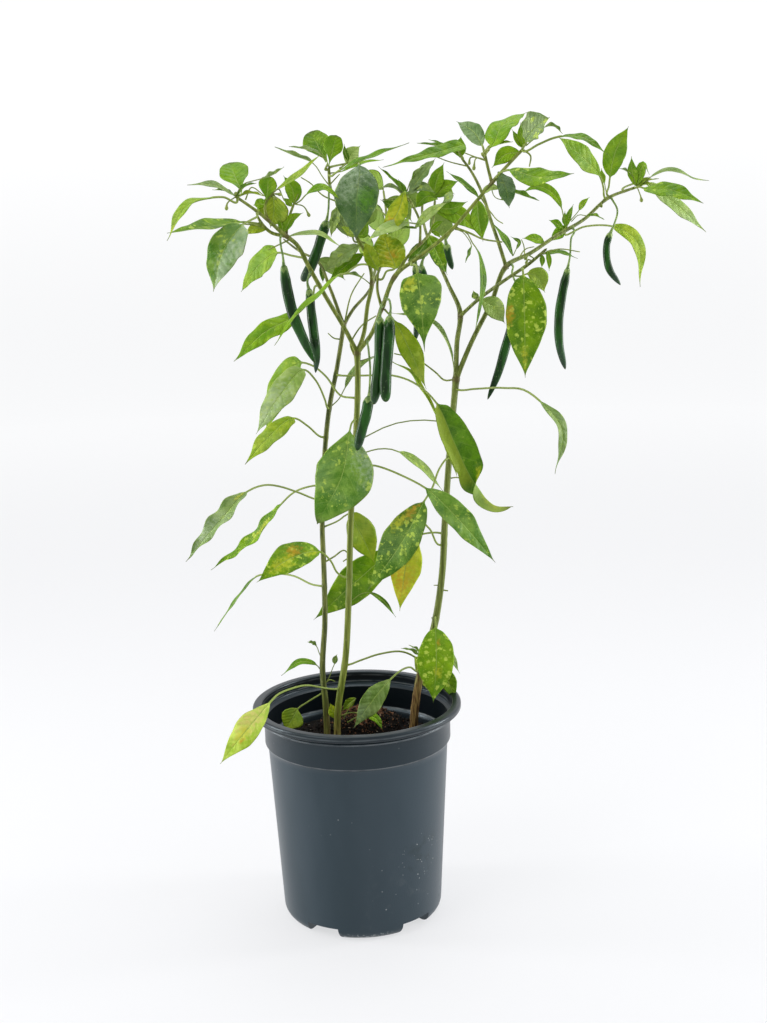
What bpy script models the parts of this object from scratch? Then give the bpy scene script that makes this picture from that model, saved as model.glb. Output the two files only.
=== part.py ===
"""A chilli pepper plant in its nursery pot.

Three stems stand in a round pot of potting mix. Each stem is one grown piece with its
branches; every pod and every large leaf is a piece of its own that almost touches the
branch that carries it.

The plant is laid out on a drawing board that stands upright through the pot's axis and is
looked at from EYE. A point is written (x, z, y) in millimetres: x and z are read on the
board, and y says how far behind the board (or, below zero, in front of it) the point lies.
seen() carries the board point along its sight line to that depth.

The origin is the middle of the pot's foot, +Z up, and the front of the plant faces -Y.
"""

import math

import bmesh
import bpy
from mathutils import Matrix, Vector

MM = 0.001
GAP = 0.3                       # running gap between pieces that touch, mm

EYE = Vector((0.0, -1350.0, 683.0))

# Pot, mm
RIM_RADIUS = 103.5
RIM_TOP = 218.0
RIM_BEAD = 5.0
RIM_ROUND = 2.2
LIP_RADIUS = 94.5
LIP_DEPTH = 5.0                 # straight inside the rim before the wall thins
COLLAR_RADIUS = 92.5
COLLAR_FOOT = 177.0
NECK_FLARE = 3.0                # how far the collar spreads to meet the rim
NECK_DROP = 5.0
STEP_DROP = 4.0                 # height of the slope from the collar to the body
EDGE = 1.0                      # softened edge of that step
BODY_TOP_RADIUS = 89.5
BODY_FOOT_RADIUS = 80.0
WALL = 2.2
FLOOR = 3.0
FLOOR_BEVEL = 3.0
FOOT_ROUND = 4.0
CLEAR = 8.0                     # how far a cutter runs on past what it cuts
POCKETS = 5
POCKET_FIRST = -123.0           # azimuth of the first pocket, degrees from +X
POCKET_WIDTH = 34.0
POCKET_HEIGHT = 12.0
POCKET_INNER = 56.0
DRAIN_RADIUS = 4.0
DRAIN_REACH = 66.0
DRAIN_DEPTH = 12.0
POT_STEPS = 48                  # facets round the pot
ARC_STEPS = 3                   # spans in a rounded corner of a profile

# How far the crown opens fore and aft against the drawn depths, and where that begins, mm
CROWN_DEPTH = 1.5
CROWN_FOOT = 240.0
CROWN_FULL = 480.0

# Soil, mm
SOIL_TOP = 173.0
SOIL_FLAT = 60.0                # radius of the level middle
SOIL_EDGE = 171.0
MOUND = (2.0, 42.0, 171.0)
MOUND_SIZE = (46.0, 26.0, 22.0)

TUBE_RESOLUTION = 2             # a curve bevel of 8 sides
SPAN_STEPS = 2                  # samples between two points of a route
MERGE = 1e-6                    # corners closer than this are one, m

# Pods: stalk, calyx, and thickness along the pod as a share of its greatest, mm
POD_STALK = 1.7
POD_CALYX = 2.2
POD_SWELL = (0.55, 0.95, 1.0, 1.0, 0.97, 0.9, 0.8, 0.6, 0.16)

# Leaves, mm; a ring of a leaf has six corners, at these angles while it is still a stalk
LEAF_STALK = 0.9
LEAF_FOLD = 0.25                # rise of the blade's edge for each mm out from its midrib
LEAF_MIDRIB = 0.5               # half the thickness at the midrib
LEAF_BLADE = 0.3                # how far the underside hangs below between midrib and edge
LEAF_LEAST = 0.7                # smallest half width of a blade
LEAF_STEPS = 6                  # rings along a blade
LEAF_ANGLES = (180, 90, 0, -60, -90, -120)
TIP_SHARE = 0.985               # where the outline is read for the last ring
FIRST_STEP = 1.5                # how far a stalk runs straight out of the bark, mm

# Colours by tone
BARK = {"stem_left": (0.06, 0.1, 0.028), "stem_middle": (0.13, 0.18, 0.045),
        "stem_right": (0.12, 0.13, 0.05)}
TONES = {"deep": (0.05, 0.15, 0.03), "bright": (0.18, 0.34, 0.04), "grey": (0.14, 0.22, 0.11),
         "spotted": (0.09, 0.2, 0.03), "yellow": (0.48, 0.4, 0.06)}

# Branches: (x, z, y, thickness). The first route of a stem is its trunk.
STEMS = {
    "stem_left": {
        "left": [(-32, 130, 8, 6.5), (-31, 210, 8, 6.3), (-33, 252, 10, 5.8), (-29, 300, 12, 5.4),
                 (-28, 350, 16, 5.2), (-28, 400, 22, 5.0), (-24, 460, 28, 4.8),
                 (-17, 513, 33, 4.8), (-8.6, 550, 37, 4.4), (0, 594, 41, 4.4)],
        "left_inner": [(-1, 590, 41, 3.6), (-13, 626, 42, 3.2), (-23, 650, 46, 2.6),
                       (-40, 660, 54, 2.2), (-55, 672, 62, 1.8)],
        "left_back": [(-1, 590, 41, 3.4), (8, 604, 46, 3.2), (22, 619, 56, 2.8),
                      (34, 640, 72, 2.6), (42, 668, 92, 2.2)],
    },
    "stem_middle": {
        "middle": [(-21, 130, -2, 7.0), (-19, 210, -2, 6.8), (-10, 262, -2, 6.4),
                   (-5, 320, -2, 6.1), (0, 405, -2, 5.8), (7, 480, -3, 5.6),
                   (11, 545, -5, 5.6), (11, 569, -5, 5.8)],
        "mid_left": [(11, 564, -5, 4.4), (-0.5, 588, -9, 4.1), (-15, 614, -15, 4.0),
                     (-31, 644, -22, 3.8), (-43, 667, -29, 3.8), (-54, 676, -35, 3.6),
                     (-70, 691, -46, 2.9), (-88, 705, -56, 2.6), (-98, 712, -62, 2.4)],
        "left_spur": [(-52, 674, -34, 3.0), (-66, 678, -32, 3.0), (-75, 688, -32, 2.4),
                      (-79, 696, -34, 1.8)],
        "left_shoot": [(-52, 675, -34, 2.8), (-49, 689, -30, 2.4), (-43, 704, -22, 2.2)],
        "left_fork": [(-69, 690, -45, 2.6), (-70, 702, -43, 2.4), (-61, 716, -38, 1.8)],
        "mid_rise": [(11, 564, -5, 4.2), (17, 579, -3, 4.0), (22, 607, 1, 3.8),
                     (27, 631, 5, 3.6), (24, 650, 8, 3.4), (14, 672, 8, 3.2),
                     (2, 701, 10, 2.6), (-8, 714, 6, 2.6), (-10, 736, 0, 2.6)],
        "mid_back": [(27, 628, 5, 3.0), (34, 655, 30, 2.8), (42, 690, 62, 2.4),
                     (40, 714, 84, 2.0)],
        "mid_right": [(11, 564, -5, 4.2), (23, 578, -11, 4.0), (36, 606, -24, 3.8),
                      (50, 636, -37, 3.8), (71, 651, -47, 3.2), (100, 673, -56, 3.2),
                      (128, 703, -62, 3.0), (150, 727, -65, 2.8), (171, 748, -66, 2.6)],
        "mid_twig": [(36, 604, -24, 2.8), (32, 621, -24, 2.6), (33, 640, -20, 2.0)],
        "mid_upper": [(48, 634, -36, 2.8), (61, 652, -32, 2.7), (82, 673, -22, 2.5),
                      (88, 704, -2, 2.2)],
        "crown_shoot": [(73, 664, -28, 2.3), (73, 684, -22, 2.2), (61, 709, -14, 2.0)],
        "right_shoot": [(141, 717, -64, 2.6), (137, 733, -60, 2.6), (134, 748, -56, 2.2)],
    },
    "stem_right": {
        "right": [(54, 130, 20, 9.0), (58, 210, 20, 8.3), (62, 235, 20, 7.8), (80, 298, 18, 7.0),
                  (88, 350, 16, 6.6), (91, 395, 14, 6.4), (97, 465, 12, 6.1),
                  (105, 541, 10, 6.2)],
        "right_inner": [(104.5, 536, 10, 5.0), (106, 570, 15, 4.8), (109.5, 599, 21, 4.6),
                        (99, 625, 28, 3.6), (90, 646, 36, 3.2), (80, 670, 50, 2.8),
                        (76, 700, 74, 2.4), (84, 724, 92, 2.0)],
        "right_front": [(109, 595, 20, 3.6), (125, 609, 10, 3.4), (151, 627, -8, 3.2),
                        (176, 643, -26, 3.0), (192, 656, -40, 2.4)],
        "right_outer": [(104.5, 536, 10, 5.0), (120, 571, 14, 4.6), (139, 607, 19, 4.4),
                        (155, 642, 26, 4.4), (176, 652, 35, 3.8), (200, 667, 46, 3.6),
                        (227, 682, 58, 3.4), (250, 701, 68, 3.2), (276, 710, 76, 2.6)],
        "right_rise": [(154, 638, 25, 3.6), (147, 661, 31, 3.6), (140, 682, 38, 3.4),
                       (131, 710, 46, 3.0), (122, 728, 52, 2.6), (112, 742, 57, 2.2)],
    },
}

# Pods: name, branch, height on it, stalk route (x, z, y), pod route (x, z, y), pod thickness
PODS = [
    ("chilli_01", "mid_left", 677, [(-57, 664, -36), (-55, 650, -36)],
     [(-54.6, 640, -36), (-52, 620, -35), (-47.6, 600, -34), (-40, 580, -33), (-29, 555, -32)], 9.6),
    ("chilli_02", "mid_left", 642, [(-32, 634, -28), (-33.5, 622, -30)],
     [(-32, 613, -30), (-31, 600, -29), (-29, 580, -26), (-27.5, 560, -22), (-29, 546, -20)], 8.6),
    ("chilli_03", "mid_rise", 720, [(-10.5, 712, -6), (-11.5, 697, -8)],
     [(-13.5, 687, -8), (-19, 672, -8), (-24, 658, -8), (-30, 645, -8), (-38, 633, -8)], 10.6),
    ("chilli_04", "mid_right", 608, [(35, 606, -44), (34, 600, -50)],
     [(33.5, 590, -54), (33, 575, -56), (31, 552, -57), (28, 530, -57), (24.5, 512, -56)], 10.0),
    ("chilli_05", "mid_right", 616, [(43, 612, -42), (44, 602, -46)],
     [(42.5, 591, -48), (41, 575, -50), (38.5, 552, -50), (37, 533, -50), (37, 517, -49)], 9.6),
    ("chilli_06", "mid_right", 576, [(22, 566, -24), (23, 548, -30), (22, 532, -32)],
     [(21, 522, -33), (18.5, 508, -34), (14.5, 494, -34), (11, 482, -33), (8, 470, -32)], 10.0),
    ("chilli_07", "right_outer", 643, [(159, 634, 20), (163, 622, 16)],
     [(163, 610, 14), (160, 592, 12), (153, 568, 11), (144.5, 540, 11), (134.4, 515.5, 12)], 8.4),
    ("chilli_08", "right_outer", 675, [(214.7, 664, 44), (213.6, 648, 41)],
     [(211.5, 637, 40), (207, 617, 39), (203, 590, 38), (203.5, 566, 38), (209, 542, 39)], 8.6),
    ("chilli_09", "right_outer", 702, [(258, 690, 66), (255, 676, 63)],
     [(252, 669, 62), (248.5, 659, 61), (248, 650, 60), (250.5, 636, 60), (261.5, 620, 61)], 7.2),
    ("chilli_10", "mid_right", 671, [(96.5, 669, -42), (97, 666, -40)],
     [(97.5, 663, -40), (98.5, 658, -40), (99.5, 652, -40), (101, 646, -40), (103, 639, -40)], 6.2),
    ("chilli_11", "mid_right", 650, [(69, 652, -30), (68.5, 649, -26)],
     [(68.5, 644, -24), (69.5, 630, -22), (70, 610, -22), (69, 590, -22), (66, 572, -22)], 8.0),
    ("chilli_12", "mid_right", 655, [(77, 652, -32), (75, 648, -30)],
     [(74, 644, -30), (76, 632, -32), (78, 618, -34), (78, 604, -36), (76, 588, -38)], 7.2),
]

# Leaves: name, branch, height on it, stalk route, blade route, width, way the blade faces, tone
LEAVES = [
    ("leaf_over_rim", "middle", 232, [(-50, 236, -34), (-65, 233, -58), (-79, 227, -80)],
     [(-86, 220, -92), (-112, 190, -112), (-139, 157, -122)], 30, (-0.25, -0.8, 0.55), "yellow"),
    ("leaf_in_pot", "right", 247, [(54, 251, 10), (43, 247, 0)],
     [(35, 240, -6), (15, 217, -18), (-4, 190, -26)], 24, (0.35, -0.85, 0.35), "grey"),
    ("leaf_low_right", "right", 300, [(80, 301, 4)],
     [(80, 292, -2), (80, 252, -14), (76, 213, -20)], 36, (0.0, -1.0, 0.15), "spotted"),
    ("leaf_low_back", "middle", 256, [(5, 260, 10), (25, 266, 20), (44, 266, 27)],
     [(52, 262, 30), (60, 242, 36), (66, 222, 40)], 15, (0.0, -0.8, 0.6), "deep"),
    ("leaf_left_long", "left", 424, [(-50, 431, 8), (-66, 437, -2), (-84, 439, -18)],
     [(-98, 434, -30), (-128, 404, -46), (-162, 366, -52)], 21, (-0.45, -0.65, 0.6), "deep"),
    ("leaf_left_wavy", "left", 436, [(-45, 435, 36), (-56, 430, 45)],
     [(-66, 421, 52), (-90, 391, 66), (-138, 357, 84)], 14, (-0.5, -0.5, 0.7), "spotted"),
    ("leaf_left_spotted", "middle", 346, [(-15, 350, -12), (-21, 362, -16)],
     [(-30, 371, -22), (-60, 366, -36), (-94, 343, -50)], 29, (-0.1, -0.85, 0.5), "spotted"),
    ("leaf_left_edge", "left", 337, [(-40, 339, 30), (-57, 348, 50), (-80, 351, 74)],
     [(-94, 349, 88), (-112, 330, 100), (-138, 295, 112)], 18, (-0.7, 0.0, 0.65), "grey"),
    ("leaf_left_high", "left", 483, [(-38, 495, 24)],
     [(-50, 503, 18), (-76, 486, 4), (-100, 460, -6)], 23, (-0.4, -0.75, 0.5), "bright"),
    ("leaf_left_bright", "middle", 520, [(-5, 523, 4), (-20, 543, 12), (-32, 553, 18)],
     [(-41, 557, 22), (-68, 538, 32), (-78, 490, 38)], 36, (-0.2, -0.75, 0.6), "bright"),
    ("leaf_left_grey", "left", 511, [(-21, 520, 24), (-30, 540, 12)],
     [(-39, 549, 4), (-62, 524, -8), (-88, 489, -14)], 32, (-0.3, -0.85, 0.4), "grey"),
    ("leaf_mid_left", "mid_left", 628, [(-30, 616, -4)],
     [(-44, 602, 0), (-75, 586, -6), (-106, 559, -10)], 23, (-0.2, -0.75, 0.6), "bright"),
    ("leaf_ribbon", "mid_rise", 645, [(16, 646, -8), (8, 642, -26), (2, 638, -40)],
     [(-4, 637, -46), (-22, 620, -56), (-45, 601, -62), (-67, 573, -66)], 16, (-0.62, -0.25, 0.74), "bright"),
    ("leaf_upper_left", "mid_left", 654, [(-47, 656, -16)],
     [(-60, 659, -8), (-78, 648, 2), (-96, 624, 8)], 24, (-0.2, -0.75, 0.6), "bright"),
    ("leaf_big_left", "mid_left", 697, [(-83, 690, -62)],
     [(-91, 686, -68), (-111, 662, -76), (-122, 625, -80)], 34, (-0.35, -0.85, 0.35), "spotted"),
    ("leaf_wing_left", "left_spur", 688, [(-82, 687, -42)],
     [(-91, 688, -48), (-122, 688, -66), (-164, 681, -90)], 24, (0.0, -0.4, 0.9), "spotted"),
    ("leaf_far_left", "mid_left", 710, [(-108, 711, -70)],
     [(-118, 711, -76), (-142, 704, -88), (-162.5, 673, -96)], 19, (-0.5, -0.5, 0.7), "bright"),
    ("leaf_round_left", "mid_left", 711.5, [(-97, 716, -54)],
     [(-97, 718, -50), (-99, 729, -34), (-100.5, 739, -18)], 27, (0.0, -0.75, 0.65), "bright"),
    ("leaf_fan_left", "mid_rise", 733, [(-13, 738, 0)],
     [(-14, 741, 2), (-20, 754, 10), (-28, 767, 18)], 24, (-0.1, -0.85, 0.5), "bright"),
    ("leaf_arch_mid", "mid_rise", 729, [(-4, 730, -10)],
     [(1, 732, -18), (24, 741, -36), (65, 755.5, -48)], 18, (0.0, -0.45, 0.9), "bright"),
    ("leaf_crown_big", "mid_rise", 735, [(5, 738, 6), (15, 740, 4)],
     [(21, 736, -4), (20, 703, -22), (21, 669, -28)], 41, (0.0, -0.97, 0.25), "grey"),
    ("leaf_crown_yellow", "crown_shoot", 706, [(60, 705, -22)],
     [(59, 703, -25), (50, 692, -32), (31, 676, -36)], 21, (-0.1, -0.9, 0.4), "yellow"),
    ("leaf_heart_yellow", "mid_twig", 632, [(41, 639, -19)],
     [(48, 645, -15), (43, 657, 0), (36, 672, 10)], 30, (0.0, -0.97, 0.2), "yellow"),
    ("leaf_long_top", "right_rise", 739, [(111, 746, 54)],
     [(110, 748, 52), (84, 747, 44), (40, 734, 36)], 21, (0.0, -0.65, 0.75), "bright"),
    ("leaf_top_grey", "right_shoot", 745, [(133, 750, -52)],
     [(132.5, 751, -50), (126, 762, -44), (109, 773.5, -34)], 18, (-0.3, -0.85, 0.4), "grey"),
    ("leaf_top_bright", "right_shoot", 746, [(140, 752, -58)],
     [(141, 754, -58), (150, 770, -50), (174, 780, -38)], 21, (-0.45, -0.5, 0.75), "bright"),
    ("leaf_top_right", "mid_right", 747, [(173, 752, -70)],
     [(173, 754, -72), (182, 768, -78), (196, 773, -82)], 26, (0.0, -0.85, 0.5), "grey"),
    ("leaf_spotted_right", "mid_right", 722, [(150, 727, -76)],
     [(156, 728.5, -80), (184, 725, -94), (217.5, 723, -106)], 23, (0.1, -0.7, 0.7), "spotted"),
    ("leaf_arch_right", "mid_right", 746, [(185, 751, -74), (198, 756, -79)],
     [(205, 757.5, -82), (226, 756, -92), (249, 740, -102)], 20, (0.25, -0.2, 1.0), "deep"),
    ("leaf_end_left", "right_outer", 699.5, [(245, 710, 66)],
     [(242, 720, 62), (226, 738, 54), (203, 757, 46)], 20, (-0.2, -0.85, 0.5), "spotted"),
    ("leaf_end_up", "right_outer", 701, [(250, 711, 72)],
     [(251, 719, 74), (256, 742, 78), (268.3, 765, 80)], 23, (0.1, -0.95, 0.3), "bright"),
    ("leaf_end_dark", "right_outer", 709, [(279, 710, 70)],
     [(282, 709, 67), (310, 706, 56), (339, 693.5, 48)], 21, (0.15, -0.75, 0.65), "spotted"),
    ("leaf_end_edge", "right_outer", 706.5, [(273, 713, 82), (279, 714, 85)],
     [(284, 713, 87), (310, 696, 93), (342, 667, 98)], 18, (0.5, -0.35, 0.8), "bright"),
    ("leaf_end_drop", "right_outer", 672, [(227, 675, 64), (243, 676, 72)],
     [(252, 675, 76), (276, 661, 86), (280.3, 617.6, 90)], 18, (0.45, -0.75, 0.5), "bright"),
    ("leaf_hang_right", "right_front", 639, [(169, 638, -30)],
     [(169.4, 633, -34), (170.5, 586, -42), (170.6, 535, -44)], 38, (0.0, -1.0, 0.15), "spotted"),
    ("leaf_heart", "mid_right", 647, [(69, 643, -58)],
     [(70, 637, -62), (73, 603, -70), (75, 563, -74)], 38, (0.0, -1.0, 0.15), "spotted"),
    ("leaf_swing_right", "right", 522, [(122, 526, -10), (150, 526, -46), (174, 521, -78)],
     [(184, 513, -88), (205, 486, -98), (199, 441, -98)], 17, (0.6, -0.65, 0.45), "deep"),
    ("leaf_centre_big", "middle", 500, [(4, 497, -10)],
     [(2, 491, -16), (-7, 447, -36), (-33, 399, -46)], 51, (-0.15, -0.95, 0.3), "spotted"),
    ("leaf_centre_dark", "right", 386, [(70, 386, 30), (50, 379, 44)],
     [(41, 372, 46), (6, 343, 40), (-40, 303, 36)], 37, (0.2, -0.9, 0.35), "deep"),
    ("leaf_centre_spotted", "right", 459, [(87, 450, 0), (79, 430, -14)],
     [(72, 419, -22), (46, 374, -36), (14, 331, -44)], 36, (-0.2, -0.9, 0.4), "spotted"),
    ("leaf_centre_orange", "right", 374, [(76, 391, 6), (67, 398, 0)],
     [(61, 393, -4), (54, 352, -12), (45, 310, -16)], 24, (0.1, -0.95, 0.3), "yellow"),
    ("leaf_centre_grey", "middle", 455, [(24, 455, -22), (55, 442, -34)],
     [(72, 432, -42), (104, 400, -54), (140, 355, -60)], 23, (0.35, -0.8, 0.5), "grey"),
    ("leaf_right_folded", "left", 543, [(14, 542, 20), (45, 541, 6), (72, 528, -16)],
     [(85, 514, -28), (103, 472, -42), (120, 432, -52), (158, 410, -60)], 30, (0.3, -0.85, 0.4), "deep"),
]


def seen(x, z, y):
    """The point in metres on the sight line through (x, z), at depth y opened by the crown."""
    lift = min(max((z - CROWN_FOOT) / (CROWN_FULL - CROWN_FOOT), 0.0), 1.0)
    depth = y * (1.0 + (CROWN_DEPTH - 1.0) * lift)
    on_board = Vector((x, 0.0, z))
    return (EYE + (on_board - EYE) * ((depth - EYE.y) / -EYE.y)) * MM


def smooth(points, steps):
    """Catmull-Rom through the points, with steps samples between two of them."""
    ends = [[2 * a - b for a, b in zip(points[0], points[1])],
            [2 * a - b for a, b in zip(points[-1], points[-2])]]
    route = [ends[0], *points, ends[1]]
    samples = []
    for a, b, c, d in zip(route, route[1:], route[2:], route[3:]):
        for step in range(steps):
            t = step / steps
            samples.append([0.5 * (2 * q + (r - p) * t + (2 * p - 5 * q + 4 * r - s) * t ** 2
                                   + (3 * q - p - 3 * r + s) * t ** 3)
                            for p, q, r, s in zip(a, b, c, d)])
    samples.append(list(points[-1]))
    return samples


def find_branch(name):
    """The sampled route of a branch: (x, z, y, thickness) in board millimetres."""
    for branches in STEMS.values():
        if name in branches:
            return smooth(branches[name], SPAN_STEPS)
    raise KeyError(name)


def grown_from(branch, height, towards):
    """Where a stalk leaves a branch: the first point, clear of the bark, and its way out."""
    route = find_branch(branch)
    for low, high in zip(route, route[1:]):
        if low[1] <= height <= high[1]:
            break
    share = min(max((height - low[1]) / (high[1] - low[1]), 0.0), 1.0)
    x, z, y, thickness = (a + (b - a) * share for a, b in zip(low, high))
    core = seen(x, z, y)
    along = (seen(*high[:3]) - seen(*low[:3])).normalized()
    out = towards - core
    out = (out - along * out.dot(along)).normalized()
    return core + out * (thickness / 2 + GAP) * MM, out


def collection(name):
    """The scene's collection of that name, made the first time it is asked for."""
    group = bpy.data.collections.get(name)
    if group is None:
        group = bpy.data.collections.new(name)
        bpy.context.scene.collection.children.link(group)
    return group


def add_piece(name, mesh, look):
    piece = bpy.data.objects.new(name, mesh)
    piece.data.materials.append(look)
    collection("potted_chilli_plant").objects.link(piece)
    return piece


def add_cutter(name, mesh):
    cutter = bpy.data.objects.new(name, mesh)
    cutter.hide_render = True
    cutter.display_type = "WIRE"
    collection("cutters").objects.link(cutter)
    return cutter


def boolean(piece, cutter, operation):
    step = piece.modifiers.new(cutter.name, "BOOLEAN")
    step.operation = operation
    step.solver = "EXACT"
    step.object = cutter


def finished(name, colour, roughness, metallic=0.0):
    finish = bpy.data.materials.new(name)
    finish.use_nodes = True
    shader = finish.node_tree.nodes["Principled BSDF"]
    shader.inputs["Base Color"].default_value = (*colour, 1.0)
    shader.inputs["Roughness"].default_value = roughness
    shader.inputs["Metallic"].default_value = metallic
    return finish


def tube_mesh(name, samples):
    """A closed tube along (point in metres, thickness in mm) samples."""
    line = bpy.data.curves.new(name, "CURVE")
    line.dimensions = "3D"
    line.bevel_depth = 1.0
    line.bevel_resolution = TUBE_RESOLUTION
    line.use_fill_caps = True
    line.render_resolution_u = 0
    spline = line.splines.new("POLY")
    spline.points.add(len(samples) - 1)
    for point, (place, thickness) in zip(spline.points, samples):
        point.co = (*place, 1.0)
        point.radius = thickness / 2 * MM
    guide = bpy.data.objects.new(name, line)
    bpy.context.scene.collection.objects.link(guide)
    graph = bpy.context.evaluated_depsgraph_get()
    mesh = bpy.data.meshes.new_from_object(guide.evaluated_get(graph))
    bpy.data.objects.remove(guide)
    bpy.data.curves.remove(line)
    mesh.materials.clear()
    return welded(mesh)


def welded(mesh):
    """The mesh with meeting corners joined, its faces turned outward and shaded smooth."""
    shape = bmesh.new()
    shape.from_mesh(mesh)
    bmesh.ops.remove_doubles(shape, verts=shape.verts, dist=MERGE)
    bmesh.ops.recalc_face_normals(shape, faces=shape.faces)
    shape.to_mesh(mesh)
    shape.free()
    mesh.shade_smooth()
    return mesh


def turned_mesh(name, profile):
    """A body turned from a profile of (radius, height) in mm, from the axis to the axis."""
    shape = bmesh.new()
    corners = [shape.verts.new((radius * MM, 0.0, height * MM)) for radius, height in profile]
    for a, b in zip(corners, corners[1:]):
        shape.edges.new((a, b))
    mesh = bpy.data.meshes.new(name)
    shape.to_mesh(mesh)
    shape.free()
    blank = bpy.data.objects.new(name, mesh)
    bpy.context.scene.collection.objects.link(blank)
    screw = blank.modifiers.new("turn", "SCREW")
    screw.axis = "Z"
    screw.steps = POT_STEPS
    screw.render_steps = POT_STEPS
    screw.use_merge_vertices = True
    screw.merge_threshold = MERGE
    graph = bpy.context.evaluated_depsgraph_get()
    turned = bpy.data.meshes.new_from_object(blank.evaluated_get(graph))
    bpy.data.objects.remove(blank)
    bpy.data.meshes.remove(mesh)
    return welded(turned)


def block_mesh(name, size, place, turn):
    """A box of the given size in mm, centred at place in mm, turned about Z by degrees."""
    shape = bmesh.new()
    bmesh.ops.create_cube(shape, size=1.0)
    spin = Matrix.Rotation(math.radians(turn), 4, "Z")
    stretch = Matrix.Diagonal((*(s * MM for s in size), 1.0))
    bmesh.ops.transform(shape, verts=shape.verts,
                        matrix=spin @ Matrix.Translation(Vector(place) * MM) @ stretch)
    mesh = bpy.data.meshes.new(name)
    shape.to_mesh(mesh)
    shape.free()
    return mesh


def wall_radius(height):
    """Outer radius of the tapering body at a height, mm."""
    return BODY_FOOT_RADIUS + (BODY_TOP_RADIUS - BODY_FOOT_RADIUS) * height / COLLAR_FOOT


def arc(radius, height, size, first, last):
    """Profile points round a centre, from one angle to another in degrees; 0 points outward."""
    turns = [first + (last - first) * step / ARC_STEPS for step in range(ARC_STEPS + 1)]
    return [(radius + size * math.cos(math.radians(turn)),
             height + size * math.sin(math.radians(turn))) for turn in turns]


def pocket_azimuths():
    return [POCKET_FIRST + 360 / POCKETS * k for k in range(POCKETS)]


def pocket_blocks(name, margin, floor):
    """Boxes of the raised drainage pockets, grown by margin and run down to floor."""
    outer = BODY_FOOT_RADIUS + CLEAR
    length = outer - POCKET_INNER + margin
    height = POCKET_HEIGHT + margin - floor
    centre = (outer - length / 2, 0.0, floor + height / 2)
    size = (length, POCKET_WIDTH + 2 * margin, height)
    return [add_cutter(f"{name}_{k}", block_mesh(f"{name}_{k}", size, centre, azimuth))
            for k, azimuth in enumerate(pocket_azimuths())]


def drain_drill(name, azimuth):
    """The upright drill of a drain hole through the roof of a pocket."""
    shape = bmesh.new()
    bmesh.ops.create_cone(shape, cap_ends=True, segments=16, radius1=DRAIN_RADIUS * MM,
                          radius2=DRAIN_RADIUS * MM, depth=DRAIN_DEPTH * MM)
    turn = Matrix.Rotation(math.radians(azimuth), 4, "Z")
    reach = Vector((DRAIN_REACH, 0, POCKET_HEIGHT + WALL / 2)) * MM
    bmesh.ops.transform(shape, verts=shape.verts, matrix=turn @ Matrix.Translation(reach))
    mesh = bpy.data.meshes.new(name)
    shape.to_mesh(mesh)
    shape.free()
    return add_cutter(name, mesh)


def pot_skin():
    """Outside of the pot: rolled rim, collar, step, tapering body and rounded foot."""
    bead_foot = RIM_TOP - 2 * RIM_BEAD
    rim_centre = RIM_RADIUS - RIM_ROUND
    return turned_mesh("pot", [
        (0, RIM_TOP),
        *arc(rim_centre, RIM_TOP - RIM_ROUND, RIM_ROUND, 90, 0),
        *arc(rim_centre, bead_foot + RIM_ROUND, RIM_ROUND, 0, -90),
        (COLLAR_RADIUS + NECK_FLARE, bead_foot - EDGE),
        (COLLAR_RADIUS, bead_foot - NECK_DROP),
        (COLLAR_RADIUS, COLLAR_FOOT + EDGE),
        (COLLAR_RADIUS - EDGE, COLLAR_FOOT),
        (BODY_TOP_RADIUS, COLLAR_FOOT - STEP_DROP),
        *arc(BODY_FOOT_RADIUS - FOOT_ROUND, FOOT_ROUND, FOOT_ROUND, 0, -90),
        (0, 0)])


def pot_cavity():
    """The room inside the pot, open at the mouth, left solid over the drainage pockets."""
    collar_inside = COLLAR_RADIUS - WALL
    inside = turned_mesh("pot_inside", [
        (0, RIM_TOP + CLEAR),
        (LIP_RADIUS, RIM_TOP + CLEAR),
        (LIP_RADIUS, RIM_TOP - LIP_DEPTH),
        (collar_inside, RIM_TOP - 2 * RIM_BEAD - NECK_DROP),
        (collar_inside, COLLAR_FOOT + EDGE),
        (BODY_TOP_RADIUS - WALL, COLLAR_FOOT - STEP_DROP),
        (BODY_FOOT_RADIUS - WALL, FLOOR + FLOOR_BEVEL),
        (BODY_FOOT_RADIUS - WALL - FLOOR_BEVEL, FLOOR),
        (0, FLOOR)])
    cavity = add_cutter("pot_inside", inside)
    for block in pocket_blocks("pocket_hood", WALL, -WALL):
        boolean(cavity, block, "DIFFERENCE")
    return cavity


def make_pot():
    """Outer skin less the inside, with raised pockets let in round the foot and drilled."""
    pot = add_piece("pot", pot_skin(), finished("pot_plastic", (0.045, 0.06, 0.075), 0.45))
    boolean(pot, pot_cavity(), "DIFFERENCE")
    for block in pocket_blocks("pocket", 0.0, -CLEAR):
        boolean(pot, block, "DIFFERENCE")
    for k, azimuth in enumerate(pocket_azimuths()):
        boolean(pot, drain_drill(f"drain_{k}", azimuth), "DIFFERENCE")


def coir_mound():
    """A low heap of coir behind the stems."""
    heap = bmesh.new()
    bmesh.ops.create_uvsphere(heap, u_segments=16, v_segments=8, radius=1.0)
    stretch = Matrix.Diagonal((*(s * MM for s in MOUND_SIZE), 1.0))
    bmesh.ops.transform(heap, verts=heap.verts,
                        matrix=Matrix.Translation(Vector(MOUND) * MM) @ stretch)
    mesh = bpy.data.meshes.new("coir_mound")
    heap.to_mesh(mesh)
    heap.free()
    return add_cutter("coir_mound", mesh)


def stem_socket(trunk):
    """The room that a trunk takes up in the soil, with the running gap all round."""
    samples = [(seen(x, z, y), thickness + 2 * GAP)
               for x, z, y, thickness in find_branch(trunk) if z < RIM_TOP]
    end, thickness = samples[0]
    below = end + (end - samples[1][0]).normalized() * GAP * MM
    return add_cutter(f"socket_{trunk}", tube_mesh(trunk, [(below, thickness), *samples[1:]]))


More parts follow.
